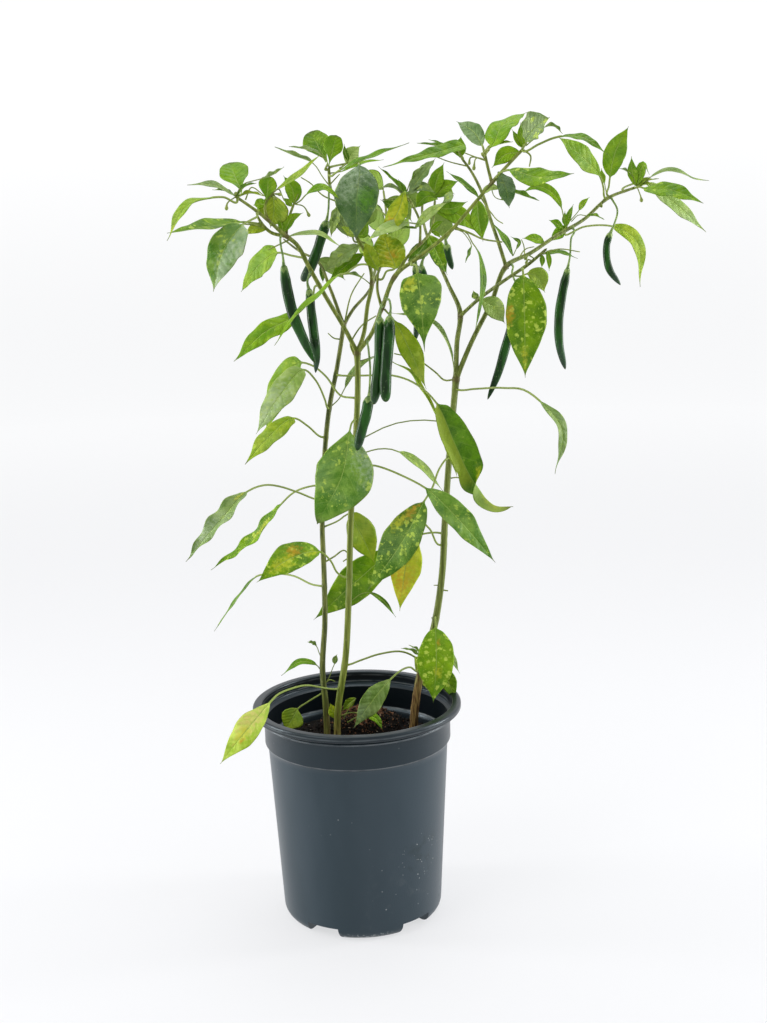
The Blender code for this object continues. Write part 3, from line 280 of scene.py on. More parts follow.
# Leaves: name, branch, height on it, stalk route, blade route, width, way it faces, form, tone,
# amount of flecks
LEAVES = [
    ("leaf_over_rim", "middle", 232, [(-50, 236, -34), (-65, 233, -58), (-79, 227, -80)],
     [(-86, 220, -92), (-112, 190, -112), (-139, 157, -122)], 25, (-0.25, -0.8, 0.55),
     "broad", "peach", 0.3),
    ("leaf_in_pot", "right", 247, [(54, 251, 10), (43, 247, 0)],
     [(35, 240, -6), (15, 217, -18), (-4, 190, -26)], 22, (0.35, -0.85, 0.35),
     "broad", "grey", 0.3),
    ("leaf_low_right", "right", 300, [(80, 301, 4)],
     [(80, 292, -2), (80, 252, -14), (76, 213, -20)], 38, (0.0, -1.0, 0.15),
     "oval", "bright", 1.0),
    ("leaf_low_back", "middle", 256, [(5, 260, 10), (25, 266, 20), (48, 267, 27)],
     [(58, 262, 30), (68, 242, 36), (74, 222, 40)], 15, (0.0, -0.8, 0.6),
     "oval", "peach", 0.3),
    ("leaf_left_long", "left", 424, [(-50, 431, 8), (-66, 437, -2), (-84, 439, -18)],
     [(-98, 434, -30), (-128, 404, -46), (-162, 366, -52)], 21, (-0.45, -0.65, 0.6),
     "wavy", "grey", 0.5),
    ("leaf_left_wavy", "left", 436, [(-45, 435, 36), (-56, 430, 45)],
     [(-66, 421, 52), (-90, 391, 66), (-138, 357, 84)], 17, (-0.5, -0.5, 0.7),
     "wavy", "spotted", 0.6),
    ("leaf_left_spotted", "middle", 346, [(-15, 350, -12), (-21, 362, -16)],
     [(-30, 371, -22), (-60, 366, -36), (-94, 343, -50)], 29, (-0.1, -0.85, 0.5),
     "oval", "spotted", 0.9),
    ("leaf_left_edge", "left", 337, [(-40, 339, 30), (-57, 348, 50), (-80, 351, 74)],
     [(-94, 349, 88), (-112, 330, 100), (-138, 295, 112)], 7, (-0.6, -0.3, 0.65),
     "flat", "leafy", 0.2),
    ("leaf_left_high", "left", 483, [(-38, 495, 24)],
     [(-50, 503, 18), (-76, 486, 4), (-100, 460, -6)], 23, (-0.4, -0.75, 0.5),
     "round_base", "lime", 0.4),
    ("leaf_left_bright", "middle", 520, [(-5, 523, 4), (-20, 543, 12), (-32, 553, 18)],
     [(-41, 556, 22), (-64, 532, 32), (-79, 490, 38)], 29, (-0.2, -0.75, 0.6),
     "round_base", "fresh", 0.4),
    ("leaf_left_grey", "left", 511, [(-21, 520, 24), (-30, 540, 12)],
     [(-39, 549, 4), (-64, 525, -8), (-88, 489, -14)], 27, (-0.3, -0.85, 0.4),
     "round_base", "pale", 0.4),
    ("leaf_mid_left", "mid_left", 628, [(-30, 616, -4)],
     [(-44, 602, 0), (-75, 586, -6), (-106, 559, -10)], 23, (-0.2, -0.75, 0.6),
     "round_base", "bright", 0.2),
    ("leaf_ribbon", "mid_rise", 645, [(16, 646, -8), (8, 642, -26), (2, 638, -40)],
     [(-4, 637, -46), (-22, 620, -56), (-45, 601, -62), (-67, 573, -66)], 16, (-0.62, -0.25, 0.74),
     "lance", "bright", 0.1),
    ("leaf_upper_left", "mid_left", 654, [(-47, 656, -16)],
     [(-60, 659, -8), (-78, 648, 2), (-96, 624, 8)], 24, (-0.2, -0.75, 0.6),
     "round_base", "fresh", 0.2),
    ("leaf_big_left", "mid_left", 697, [(-83, 690, -62)],
     [(-91, 686, -68), (-111, 662, -76), (-122, 625, -80)], 34, (-0.35, -0.85, 0.35),
     "round_base", "half_grey", 0.8),
    ("leaf_wing_left", "left_spur", 688, [(-82, 687, -42)],
     [(-91, 688, -48), (-121, 685.5, -66), (-162, 680, -90)], 21, (0.0, -0.5, 0.85),
     "lance", "spotted", 0.8),
    ("leaf_far_left", "mid_left", 710, [(-108, 711, -70)],
     [(-118, 711, -76), (-142, 704, -88), (-162.5, 673, -96)], 17, (-0.5, -0.5, 0.7),
     "lance", "fresh", 0.1),
    ("leaf_round_left", "mid_left", 711.5, [(-93, 712, -58)],
     [(-92, 713, -56), (-96, 728, -42), (-101, 742, -26)], 27, (0.0, -0.75, 0.65),
     "fan", "bright", 0.0),
    ("leaf_fan_left", "mid_rise", 733, [(-12, 736, 0)],
     [(-11, 738, 2), (-18, 752, 10), (-25, 768, 18)], 25, (-0.1, -0.85, 0.5),
     "fan", "spotted", 0.0),
    ("leaf_arch_mid", "mid_rise", 729, [(-4, 730, -10)],
     [(1, 733, -18), (24, 742, -36), (65, 755.5, -48)], 15, (0.0, -0.45, 0.9),
     "lance", "deep", 0.1),
    ("leaf_crown_big", "mid_rise", 735, [(5, 738, 6), (15, 740, 4)],
     [(18, 737, -4), (15, 705, -22), (13, 668, -28)], 41, (0.0, -0.97, 0.25),
     "broad", "sheen", 0.3),
    ("leaf_crown_yellow", "crown_shoot", 706, [(60, 705, -22)],
     [(60, 711, -25), (54, 695, -30), (35, 669, -34)], 18, (-0.1, -0.9, 0.4),
     "broad", "yellow", 0.3),
    ("leaf_heart_yellow", "mid_twig", 632, [(41, 639, -19)],
     [(48, 641, -15), (44, 657, -6), (37, 678, 4)], 31, (0.0, -0.97, 0.2),
     "round_base", "yellow", 0.5),
    ("leaf_long_top", "right_rise", 739, [(111, 746, 54)],
     [(115, 750, 52), (88, 745.5, 44), (40, 734, 36)], 18, (0.0, -0.65, 0.75),
     "blade", "spotted", 0.1),
    ("leaf_top_grey", "right_shoot", 745, [(133, 750, -52)],
     [(132.5, 751, -50), (126, 762, -44), (109, 773.5, -34)], 16, (-0.3, -0.85, 0.4),
     "oval", "slate", 0.0),
    ("leaf_top_bright", "right_shoot", 746, [(137, 748, -58)],
     [(139, 749, -58), (150, 767, -50), (174, 780, -38)], 29, (-0.45, -0.5, 0.75),
     "oval", "bright", 0.0),
    ("leaf_top_right", "mid_right", 747, [(173, 752, -70)],
     [(173, 754, -72), (183, 767, -78), (195, 775, -82)], 25, (0.0, -0.85, 0.5),
     "crumpled", "grey", 0.9),
    ("leaf_spotted_right", "mid_right", 722, [(150, 727, -76)],
     [(156, 728.5, -80), (184, 721.5, -94), (217.5, 724, -106)], 22, (0.1, -0.7, 0.7),
     "broad", "spotted", 0.7),
    ("leaf_arch_right", "mid_right", 746, [(185, 751, -74), (198, 756, -79)],
     [(205, 757.5, -82), (226, 756, -92), (249, 740, -102)], 9, (0.1, -0.7, 0.6),
     "flat", "deep", 0.1),
    ("leaf_end_left", "right_outer", 699.5, [(245, 710, 66)],
     [(242, 720, 62), (226, 738, 54), (203, 757, 46)], 23, (-0.2, -0.85, 0.5),
     "broad", "fresh", 0.4),
    ("leaf_end_up", "right_outer", 701, [(250, 711, 72)],
     [(251, 719, 74), (256, 742, 78), (268.3, 765, 80)], 23, (0.1, -0.95, 0.3),
     "oval", "bright", 0.0),
    ("leaf_end_dark", "right_outer", 709, [(279, 710, 70)],
     [(282, 709, 67), (310, 706, 56), (339, 693.5, 48)], 22, (0.15, -0.75, 0.65),
     "oval", "spotted", 0.5),
    ("leaf_end_edge", "right_outer", 706.5, [(273, 713, 82), (279, 714, 85)],
     [(284, 713, 87), (310, 696, 93), (342, 667, 98)], 19, (0.15, -0.85, 0.5),
     "oval", "pale", 0.1),
    ("leaf_end_drop", "right_outer", 672, [(227, 675, 64), (243, 676, 72)],
     [(252, 675, 76), (276, 661, 86), (280.3, 617.6, 90)], 18, (0.45, -0.75, 0.5),
     "lance", "lime", 0.4),
    ("leaf_hang_right", "right_front", 639, [(169, 638, -30)],
     [(169.4, 633, -34), (170.5, 586, -42), (170.6, 535, -44)], 38, (0.0, -1.0, 0.15),
     "oval", "spotted", 1.0),
    ("leaf_heart", "mid_right", 647, [(69, 643, -58)],
     [(70, 637, -62), (73, 603, -70), (75, 563, -74)], 38, (0.0, -1.0, 0.15),
     "heart", "leafy", 0.9),
    ("leaf_swing_right", "right", 527, [(122, 526, -10), (150, 526, -46), (174, 521, -78)],
     [(184, 513, -88), (205, 486, -98), (199, 441, -98)], 15, (0.6, -0.65, 0.45),
     "lance", "grey", 0.2),
    ("leaf_centre_big", "middle", 500, [(4, 497, -10)],
     [(2, 491, -16), (-7, 447, -36), (-33, 399, -46)], 54, (-0.15, -0.95, 0.3),
     "wedge", "mild", 0.6),
    ("leaf_centre_dark", "right", 386, [(70, 386, 30), (50, 379, 44)],
     [(41, 372, 46), (6, 343, 40), (-40, 303, 36)], 37, (0.2, -0.9, 0.35),
     "oval", "spotted", 0.7),
    ("leaf_centre_spotted", "right", 459, [(87, 450, 0), (79, 430, -14)],
     [(72, 419, -22), (46, 374, -36), (14, 331, -44)], 36, (-0.2, -0.9, 0.4),
     "oval", "leafy", 0.8),
    ("leaf_centre_orange", "right", 374, [(76, 391, 6), (67, 398, 0)],
     [(61, 393, -4), (52, 354, -12), (45, 309, -16)], 31, (0.1, -0.95, 0.3),
     "oval", "amber", 0.6),
    ("leaf_centre_grey", "middle", 455, [(24, 455, -22), (55, 442, -34)],
     [(72, 432, -42), (104, 400, -54), (140, 355, -60)], 27, (0.35, -0.8, 0.5),
     "oval", "mild", 0.6),
    ("leaf_right_folded", "left", 543, [(14, 542, 20), (45, 541, 6), (72, 528, -16)],
     [(85, 514, -28), (103, 472, -42), (121, 434, -50), (141, 411, -58), (158, 410, -60)],
     33, (0.2, -0.8, 0.56),
     "twisted", "half_pale", 0.2),
]

# Patches on a leaf: share of the blade's length, place across it from -1 to 1, size, tint
PATCHES = {
    "leaf_over_rim": [(0.35, 0.35, 0.30, "peach"), (0.55, 0.1, 0.14, "gold"),
                      (0.62, -0.3, 0.05, "orange")],
    "leaf_far_left": [(0.88, 0.0, 0.16, "gold")],
    "leaf_low_back": [(0.5, 0.3, 0.2, "gold")],
    "leaf_left_spotted": [(0.38, 0.35, 0.13, "orange"), (0.15, -0.2, 0.12, "gold"),
                          (0.62, -0.1, 0.20, "gold")],
    "leaf_left_wavy": [(0.35, 0.1, 0.14, "gold")],
    "leaf_low_right": [(0.22, -0.2, 0.05, "orange"), (0.6, -0.1, 0.09, "gold")],
    "leaf_crown_yellow": [(0.45, -0.1, 0.26, "gold"), (0.75, 0.3, 0.20, "orange")],
    "leaf_heart_yellow": [(0.40, -0.1, 0.26, "gold"), (0.35, 0.1, 0.12, "orange"),
                          (0.72, 0.2, 0.12, "gold")],
    "leaf_heart": [(0.14, 0.5, 0.11, "gold")],
    "leaf_centre_spotted": [(0.14, 0.5, 0.12, "orange"), (0.3, 0.7, 0.10, "gold")],
    "leaf_centre_orange": [(0.65, 0.1, 0.30, "orange"), (0.35, -0.3, 0.24, "gold")],
    "leaf_hang_right": [(0.4, 0.85, 0.10, "orange"), (0.82, 0.0, 0.12, "gold")],
    "leaf_right_folded": [(0.62, -0.7, 0.08, "gold"), (0.85, 0.0, 0.12, "gold")],
    # patches of pale sheen on these leaves are painted sheen
    "leaf_crown_big": [(0.30, 0.5, 0.26, "painted_sheen"), (0.5, -0.45, 0.18, "lush")],
    "leaf_big_left": [(0.62, -0.6, 0.30, "painted_sheen"), (0.35, -0.7, 0.16, "painted_sheen")],
    "leaf_left_long": [(0.1, 0.3, 0.08, "gold"), (0.7, 0.3, 0.22, "painted_sheen")],
    "leaf_left_grey": [(0.6, 0.2, 0.35, "painted_sheen")],
    "leaf_centre_big": [(0.3, -1.0, 0.22, "painted_sheen")],
}

# Ways that a young leaf faces, each with its form, and the width in mm under which one that
# faces up is folded
FACINGS = {
    "front": ((0.0, -0.9, 0.35), "young"), "up": ((0.0, -0.45, 0.9), "young"),
    "left": ((-0.7, -0.5, 0.5), "young"), "right": ((0.7, -0.5, 0.5), "young"),
    "back": ((0.1, 0.75, 0.6), "young"), "blunt": ((0.0, -0.9, 0.35), "fan"),
    "crinkled": ((-0.1, -0.85, 0.5), "crumpled"),
}
FOLDED_UNDER = 9.0

# A young leaf of two points is arched by these shares of its fall and its reach
YOUNG_ARCH = (0.05, 0.10)

# Young leaves of a tone: their slot and their amount of flecks
YOUNG_LOOKS = {
    "deep": ("leaf_deep", 0.25), "bright": ("leaf_bright", 0.25), "lime": ("leaf_bright", 0.25),
    "grey": ("leaf_grey", 0.7), "sheen": ("leaf_grey", 0.25), "pale": ("leaf_grey", 0.7),
    "spotted": ("leaf_spotted", 0.7), "yellow": ("leaf_yellow", 0.25),
}

# Young leaves: branch, stalk (x, z), blade (x, z), width, how far the tip reaches back, tone, facing
YOUNG_LEAVES = [
    # low on the trunks and in the pot
    ("left", [(-33, 228), (-50, 218)], [(-59, 212), (-73, 189)], 24, -12, "lime", "front"),
    ("left", [(-34, 250)], [(-38, 256), (-52, 261), (-74, 247)], 9, 8, "deep", "up"),
    ("left", [(-33, 262), (-36, 270)], [(-38, 276), (-47, 281)], 6, 0, "grey", "up"),
    ("left", [(-31, 236), (-26, 245), (-22, 255)], [(-21, 257), (-18, 267)], 6, 0, "grey", "front"),
    ("right", [(70, 262), (78, 258)], [(82, 252), (98, 213)], 17, -8, "spotted", "front"),
    ("right", [(72, 272), (80, 276)], [(86, 274), (96, 258), (103, 243)], 9, 8, "grey", "up"),
    ("right", [(72, 268)], [(66, 262), (45, 271)], 5, 14, "grey", "up"),
    ("right", [(72, 270)], [(66, 265), (53, 274)], 4, 14, "grey", "up"),
    ("middle", [(-19, 196)], [(-20, 200), (-27, 217)], 11, 8, "yellow", "front"),
    ("middle", [(-14, 200), (-6, 214)], [(-1, 221), (-15, 208)], 9, 10, "lime", "front"),
    ("middle", [(-10, 196), (2, 202)], [(8, 203), (18, 199), (25, 187)], 9, -10, "bright", "up"),
    # along the trunks
    ("left", [(-27, 396), (-12, 402)], [(-3, 408), (8, 390), (22, 358)], 30, 24, "lime", "front"),
    ("middle", [(-1, 322), (8, 328)], [(14, 329), (28, 321), (41, 303)], 5, 6, "deep", "front"),
    ("middle", [(9, 466), (30, 471), (42, 470)],
     [(47, 468), (70, 452), (90, 428)], 14, 20, "pale", "up"),
    ("middle", [(10, 480), (45, 495), (80, 497)],
     [(87, 496), (98, 470), (104, 440)], 12, -25, "lime", "front"),
    ("mid_right", [(38, 604)], [(47, 593), (60, 567), (76, 527)], 20, -12, "lime", "front"),
    ("left", [(-16, 513), (-8, 520)], [(-2, 530), (9, 548), (30, 561)], 10, 12, "grey", "up"),
    ("middle", [(14, 556), (34, 560)],
     [(46, 553), (60, 545), (72, 527), (92, 488)], 6, -14, "lime", "up"),
    ("right", [(103, 543)], [(102, 552), (97, 570), (84, 589), (42, 601)], 8, -6, "grey", "up"),
    ("right_front", [], [(130, 611), (140, 604), (152, 587)], 20, 8, "pale", "front"),
    ("right_front", [], [(126, 610), (122, 619)], 7, 4, "grey", "front"),
    ("mid_right", [(107, 678), (118, 671), (122, 663)],
     [(125, 659), (131, 636), (129, 611), (123.5, 581)], 10, 8, "deep", "right"),
    ("mid_right", [(106, 676), (112, 674), (118, 667)],
     [(121, 661), (115, 645)], 5, 4, "deep", "left"),
    ("mid_rise", [(25, 628)], [(19, 633), (-3, 637)], 6, -6, "grey", "up"),
    # right side
    ("right_front", [(159, 632), (167, 631)],
     [(173, 633), (181, 631), (190, 615)], 18, 6, "lime", "front"),
    ("right_front", [], [(187, 651), (187, 638)], 5, 0, "bright", "front"),
    ("right_front", [], [(192, 654), (194, 635)], 5, 0, "bright", "front"),
    ("right_front", [], [(188, 651), (204, 652), (221, 646)], 9, 6, "deep", "up"),
    ("right_outer", [], [(190, 661), (169, 666)], 10, -6, "bright", "front"),
    ("right_outer", [(160, 650)], [(163, 656), (166, 662), (158, 668)], 4, 0, "deep", "front"),
    ("right_outer", [], [(160, 650), (152, 666), (141, 681)], 9, 6, "deep", "up"),
    ("right_outer", [], [(210, 675), (209, 690)], 6, 0, "bright", "front"),
    ("right_outer", [], [(211, 676), (217, 696)], 6, 0, "bright", "front"),
    ("right_outer", [(213, 680)], [(222, 690), (232, 702)], 6, 0, "bright", "front"),
    ("right_outer", [(215, 680), (222, 686)], [(229, 685), (246, 681)], 5, 0, "deep", "up"),
    ("right_outer", [(208, 682)],
     [(206, 692), (198, 706), (183, 713), (168, 707)], 10, 0, "bright", "front"),
    ("right_outer", [], [(207, 674), (194, 682)], 8, 0, "bright", "front"),
    ("right_outer", [], [(211, 676), (195, 662)], 12, 10, "bright", "front"),
    ("right_outer", [(248, 704)], [(246, 714), (243, 728)], 6, 0, "bright", "front"),
    ("right_outer", [(275, 711)], [(273, 719), (266, 725), (258, 728)], 5, 0, "grey", "up"),
    ("right_outer", [], [(275, 711), (271, 738)], 11, 0, "bright", "front"),
    ("right_outer", [], [(277, 712), (283, 730), (288, 721)], 11, 0, "bright", "right"),
    ("right_outer", [(278, 711), (284, 715)],
     [(288, 718), (302, 724), (316, 723), (330, 716), (344, 714)], 10, 4, "grey", "up"),
    ("right_outer", [], [(276, 710), (288, 719)], 5, 0, "lime", "front"),
    ("right_outer", [], [(276, 709), (294, 712)], 6, 0, "lime", "up"),
    ("right_outer", [], [(276, 710), (281, 722)], 5, 4, "lime", "front"),
    ("right_outer", [], [(277, 710), (297, 717)], 6, 6, "lime", "up"),
    # top right
    ("mid_right", [], [(147, 727), (154, 712), (157, 694)], 16, -12, "sheen", "crinkled"),
    ("mid_right", [], [(131, 708), (140, 713), (150, 711)], 7, -6, "pale", "front"),
    ("mid_right", [(152, 718)], [(157, 711), (168, 706), (185, 700)], 8, -4, "deep", "up"),
    ("mid_right", [(140, 714), (144, 704)], [(149, 702), (158, 703)], 4, 0, "deep", "front"),
    ("mid_right", [], [(168, 744), (155, 743), (141, 731)], 14, 10, "bright", "front"),
    ("right_shoot", [], [(136, 748), (148, 752), (161, 754)], 8, 0, "lime", "up"),
    ("mid_right", [], [(170, 748), (160, 765)], 6, 0, "bright", "front"),
    ("mid_right", [], [(171, 748), (168, 771)], 7, -4, "bright", "front"),
    ("mid_right", [(173, 750), (184, 759)],
     [(190, 766), (198, 767), (207, 760)], 6, -4, "grey", "up"),
    ("right_rise", [], [(108, 745), (90, 752), (72, 755)], 8, 8, "deep", "up"),
    ("right_rise", [], [(110, 746), (96, 753), (83, 758)], 5, 14, "deep", "up"),
    ("right_rise", [], [(112, 741), (113, 760)], 14, 4, "bright", "front"),
    ("mid_right", [], [(129, 704), (115, 717), (99, 729)], 9, 6, "deep", "up"),
    ("mid_right", [], [(127, 703), (128, 686), (132, 664)], 17, 24, "bright", "front"),
    ("mid_upper", [], [(87, 694), (108, 690), (128, 672)], 18, 8, "bright", "front"),
    # middle of the crown
    ("crown_shoot", [(62, 712)], [(66, 722), (74, 730), (86, 738)], 6, 0, "deep", "up"),
    ("crown_shoot", [], [(63, 709), (76, 726), (89, 741)], 12, -4, "grey", "crinkled"),
    ("crown_shoot", [], [(62, 709), (75, 716), (89, 709)], 10, -8, "grey", "front"),
    ("mid_upper", [], [(86, 706), (90, 722), (97, 737)], 14, -4, "bright", "front"),
    ("mid_upper", [], [(87, 706), (98, 715), (110, 720)], 15, -8, "bright", "front"),
    ("mid_upper", [], [(90, 704), (82, 707), (69, 696)], 15, -8, "bright", "front"),
    ("mid_upper", [], [(88, 696), (103, 695), (118, 701)], 13, -8, "bright", "front"),
    ("mid_upper", [], [(93, 699), (105, 707)], 10, -12, "pale", "blunt"),
    ("crown_shoot", [], [(62, 694), (48, 699), (37, 705)], 11, 10, "deep", "front"),
    ("crown_shoot", [], [(61, 708), (50, 721), (36, 735)], 6, 0, "deep", "up"),
    ("crown_shoot", [], [(61, 708), (54, 723)], 7, 4, "deep", "front"),
    ("crown_shoot", [], [(60, 706), (50, 715), (41, 716), (34, 713)], 8, 0, "grey", "up"),
    ("crown_shoot", [(70, 682)], [(64, 683), (46, 680), (23, 668)], 12, -42, "pale", "front"),
    ("crown_shoot", [], [(68, 678), (82, 691), (101, 702)], 10, -20, "pale", "front"),
    ("crown_shoot", [], [(70, 678), (55, 678), (43, 673)], 6, -4, "deep", "up"),
    ("mid_rise", [], [(0, 704), (1, 688), (6, 671)], 18, -10, "grey", "crinkled"),
    ("mid_rise", [], [(0, 704), (-6, 688), (-10, 672)], 10, -12, "pale", "crinkled"),
    ("mid_rise", [], [(13, 672), (7, 676), (-1, 682)], 8, -16, "lime", "front"),
    ("mid_rise", [], [(14, 671), (21, 676), (25, 686)], 9, -22, "bright", "front"),
    ("mid_rise", [], [(17, 664), (2, 656), (-16, 641)], 19, -14, "pale", "crinkled"),
    ("mid_rise", [], [(20, 656), (4, 646), (-14, 632)], 13, -4, "bright", "front"),
    ("mid_twig", [], [(33, 640), (27, 652), (21, 667)], 14, -4, "lime", "crinkled"),
    ("mid_upper", [], [(80, 672), (90, 652), (98, 634)], 17, 24, "spotted", "front"),
    ("mid_upper", [], [(62, 648), (72, 656), (82, 670)], 16, 25, "deep", "front"),
    ("mid_upper", [], [(83, 675), (96, 684)], 5, 0, "bright", "front"),
    ("mid_upper", [], [(83, 675), (93, 668)], 4, 0, "bright", "front"),
    ("left_inner", [], [(-21, 646), (-19, 630)], 6, 0, "deep", "front"),
    # top left
    ("mid_rise", [], [(-10, 736), (-6, 750), (-2, 764)], 19, 6, "bright", "blunt"),
    ("mid_rise", [(-12, 740)], [(-18, 748), (-30, 752), (-46, 755)], 7, 8, "grey", "up"),
    ("mid_rise", [(-10, 719), (-16, 727), (-22, 737)],
     [(-24, 739), (-42, 747), (-59, 755)], 8, 8, "grey", "up"),
    ("left_fork", [], [(-60, 716), (-40, 728), (-16, 748)], 12, -6, "lime", "up"),
    ("left_shoot", [], [(-43, 703), (-44, 716), (-52, 729)], 15, 0, "bright", "front"),
    ("left_shoot", [(-42, 703), (-37, 706)],
     [(-32, 711), (-16, 717), (0, 706)], 12, 0, "bright", "up"),
    ("left_shoot", [], [(-45, 701), (-53, 709)], 6, 0, "bright", "left"),
    ("mid_left", [], [(-53, 678), (-46, 690), (-35, 695)], 9, 6, "bright", "front"),
    ("mid_left", [], [(-54, 678), (-55, 693)], 7, 6, "bright", "front"),
    ("mid_rise", [(-9, 730)], [(0, 731), (20, 738), (41, 741)], 9, -8, "bright", "up"),
    ("mid_rise", [(0, 734)], [(8, 740), (5, 756)], 5, -8, "deep", "front"),
    ("mid_rise", [(0, 734)], [(6, 738), (20, 754)], 15, 8, "pale", "front"),
    ("mid_left", [], [(-50, 674), (-24, 676), (1, 662)], 9, -8, "pale", "up"),
    # far left
    ("mid_left", [], [(-97, 712), (-116, 722), (-141, 723)], 13, -8, "grey", "up"),
    ("mid_left", [], [(-97, 712), (-118, 718)], 4, 4, "deep", "up"),
    ("mid_left", [], [(-96, 711), (-88, 720), (-77, 723)], 7, 0, "deep", "up"),
    ("mid_left", [], [(-95, 711), (-84, 714), (-70, 711)], 6, 0, "lime", "up"),
    ("mid_left", [(-96, 713), (-90, 722), (-80, 725)],
     [(-71, 727), (-60, 731), (-51, 737)], 7, 10, "grey", "up"),
    ("left_fork", [], [(-69, 704), (-67, 718), (-66, 729)], 16, 4, "bright", "blunt"),
    ("left_fork", [], [(-70, 703), (-81, 703)], 11, 4, "bright", "front"),
    ("left_fork", [], [(-62, 712), (-62, 698), (-66, 682)], 30, 16, "lime", "front"),
    ("left_spur", [], [(-69, 681), (-80, 682), (-91, 676)], 10, 0, "lime", "front"),
    # back of the plant
    ("left_back", [(42, 668)], [(38, 676), (30, 690), (22, 706)], 25, 24, "deep", "back"),
    ("left_back", [(34, 642)], [(28, 652), (20, 664), (10, 676)], 26, 24, "spotted", "back"),
    ("left_back", [], [(41, 664), (54, 672), (64, 690)], 24, 18, "bright", "back"),
    ("mid_back", [], [(40, 714), (30, 724), (16, 724)], 22, 10, "bright", "back"),
    ("mid_back", [(42, 690)], [(34, 696), (22, 690), (10, 676)], 25, 22, "deep", "back"),
    ("mid_back", [], [(41, 704), (52, 700), (66, 684)], 24, 14, "spotted", "back"),
    ("right_inner", [], [(82, 716), (92, 716), (106, 708)], 18, 8, "bright", "back"),
    ("right_inner", [(78, 692)], [(84, 690), (94, 680), (98, 664)], 24, 18, "deep", "back"),
    ("right_inner", [], [(79, 704), (70, 704), (56, 694)], 22, 14, "spotted", "back"),
    ("left_inner", [(-30, 655)], [(-24, 652), (-12, 646), (2, 632)], 20, 20, "deep", "back"),
]

# Thin stalks, stubs and pedicels: branch, route (x, z), thickness
TWIGS = [
    ("left", [(-31, 238), (-26, 241), (-21, 239)], 1.2),
    ("left", [(-27, 361), (-18, 366), (-7, 372), (-3, 366), (-9, 361)], 1.6),
    ("left", [(-5, 577), (-10, 578), (-16, 583)], 1.4),
    ("left", [(0, 592), (8, 620), (20, 638)], 1.5),
    ("middle", [(8, 562), (5, 572), (9, 580), (17, 590), (30, 598)], 1.6),
    ("middle", [(-16, 203), (-6, 206), (2, 205)], 1.2),
    ("right", [(104, 536), (94, 535), (85, 543), (67, 556), (46, 562)], 1.6),
    ("right", [(88, 334), (79, 334)], 1.2),
    ("right", [(84, 300), (76, 301)], 1.4),
    ("right", [(87, 329), (93, 328)], 1.6),
    ("right", [(95, 440), (106, 440), (110, 437)], 1.3),
    ("right", [(107, 439), (109, 431)], 1.1),
    ("mid_right", [(105, 678), (120, 672), (130, 667), (150, 663)], 1.8),
    ("right_front", [(190, 652), (202, 655), (223, 652)], 1.2),
    ("right_outer", [(171, 650), (170, 660), (168, 665)], 1.2),
    ("right_outer", [(165, 647), (172, 656), (180, 658)], 1.2),
    ("mid_right", [(130, 705), (140, 690), (146, 683), (151, 680)], 1.2),
    ("mid_right", [(171, 746), (177, 741), (176, 731)], 1.6),
    ("right_rise", [(118, 733), (100, 738), (90, 742)], 1.3),
    ("right_shoot", [(137, 737), (126, 741), (116, 745)], 1.3),
    ("crown_shoot", [(62, 704), (48, 705), (39, 705)], 1.3),
    ("mid_rise", [(10, 672), (12, 667), (18, 667), (25, 663), (30, 655), (33, 645)], 1.6),
    ("mid_rise", [(-3, 704), (-16, 710), (-28, 722), (-36, 727)], 1.4),
    ("mid_rise", [(-9, 720), (-5, 724), (0, 729)], 1.2),
    ("left_shoot", [(-43, 703), (-39, 712)], 1.2),
    ("left_fork", [(-62, 714), (-57, 717), (-54, 711), (-52, 706)], 1.2),
    ("mid_left", [(-88, 708), (-82, 719), (-70, 711)], 1.2),
    ("left_spur", [(-70, 682), (-80, 685), (-91, 686)], 1.5),
    ("mid_left", [(-48, 671), (-62, 665), (-69, 662)], 1.4),
]

# Flower buds: branch, stalk route (x, z), radius of the bud
BUDS = [
    ("right_front", [(180, 647), (174, 650), (171, 646)], 1.6),
    ("right_front", [(178, 645), (174, 646), (172, 642)], 1.4),
    ("right_outer", [(277, 709), (280, 701), (281, 696)], 1.8),
    ("right_outer", [(250, 703), (244, 698), (243, 692)], 1.4),
    ("right_shoot", [(135, 738), (132, 745)], 1.5),
    ("right_shoot", [(135, 740), (136, 747)], 1.5),
    ("right_shoot", [(135, 742), (139, 749)], 1.5),
    ("right_shoot", [(136, 738), (127, 740), (124, 729)], 1.6),
    ("right_shoot", [(136, 738), (121, 740), (120, 734)], 1.3),
    ("left_shoot", [(-43, 703), (-35, 701), (-29, 691)], 1.6),
    ("left_fork", [(-63, 713), (-54, 712)], 1.6),
    ("left_fork", [(-64, 711), (-59, 708)], 1.4),
    ("mid_left", [(-97, 711), (-105, 705), (-106, 699)], 1.6),
    ("crown_shoot", [(62, 706), (66, 702), (67, 697)], 1.4),
]

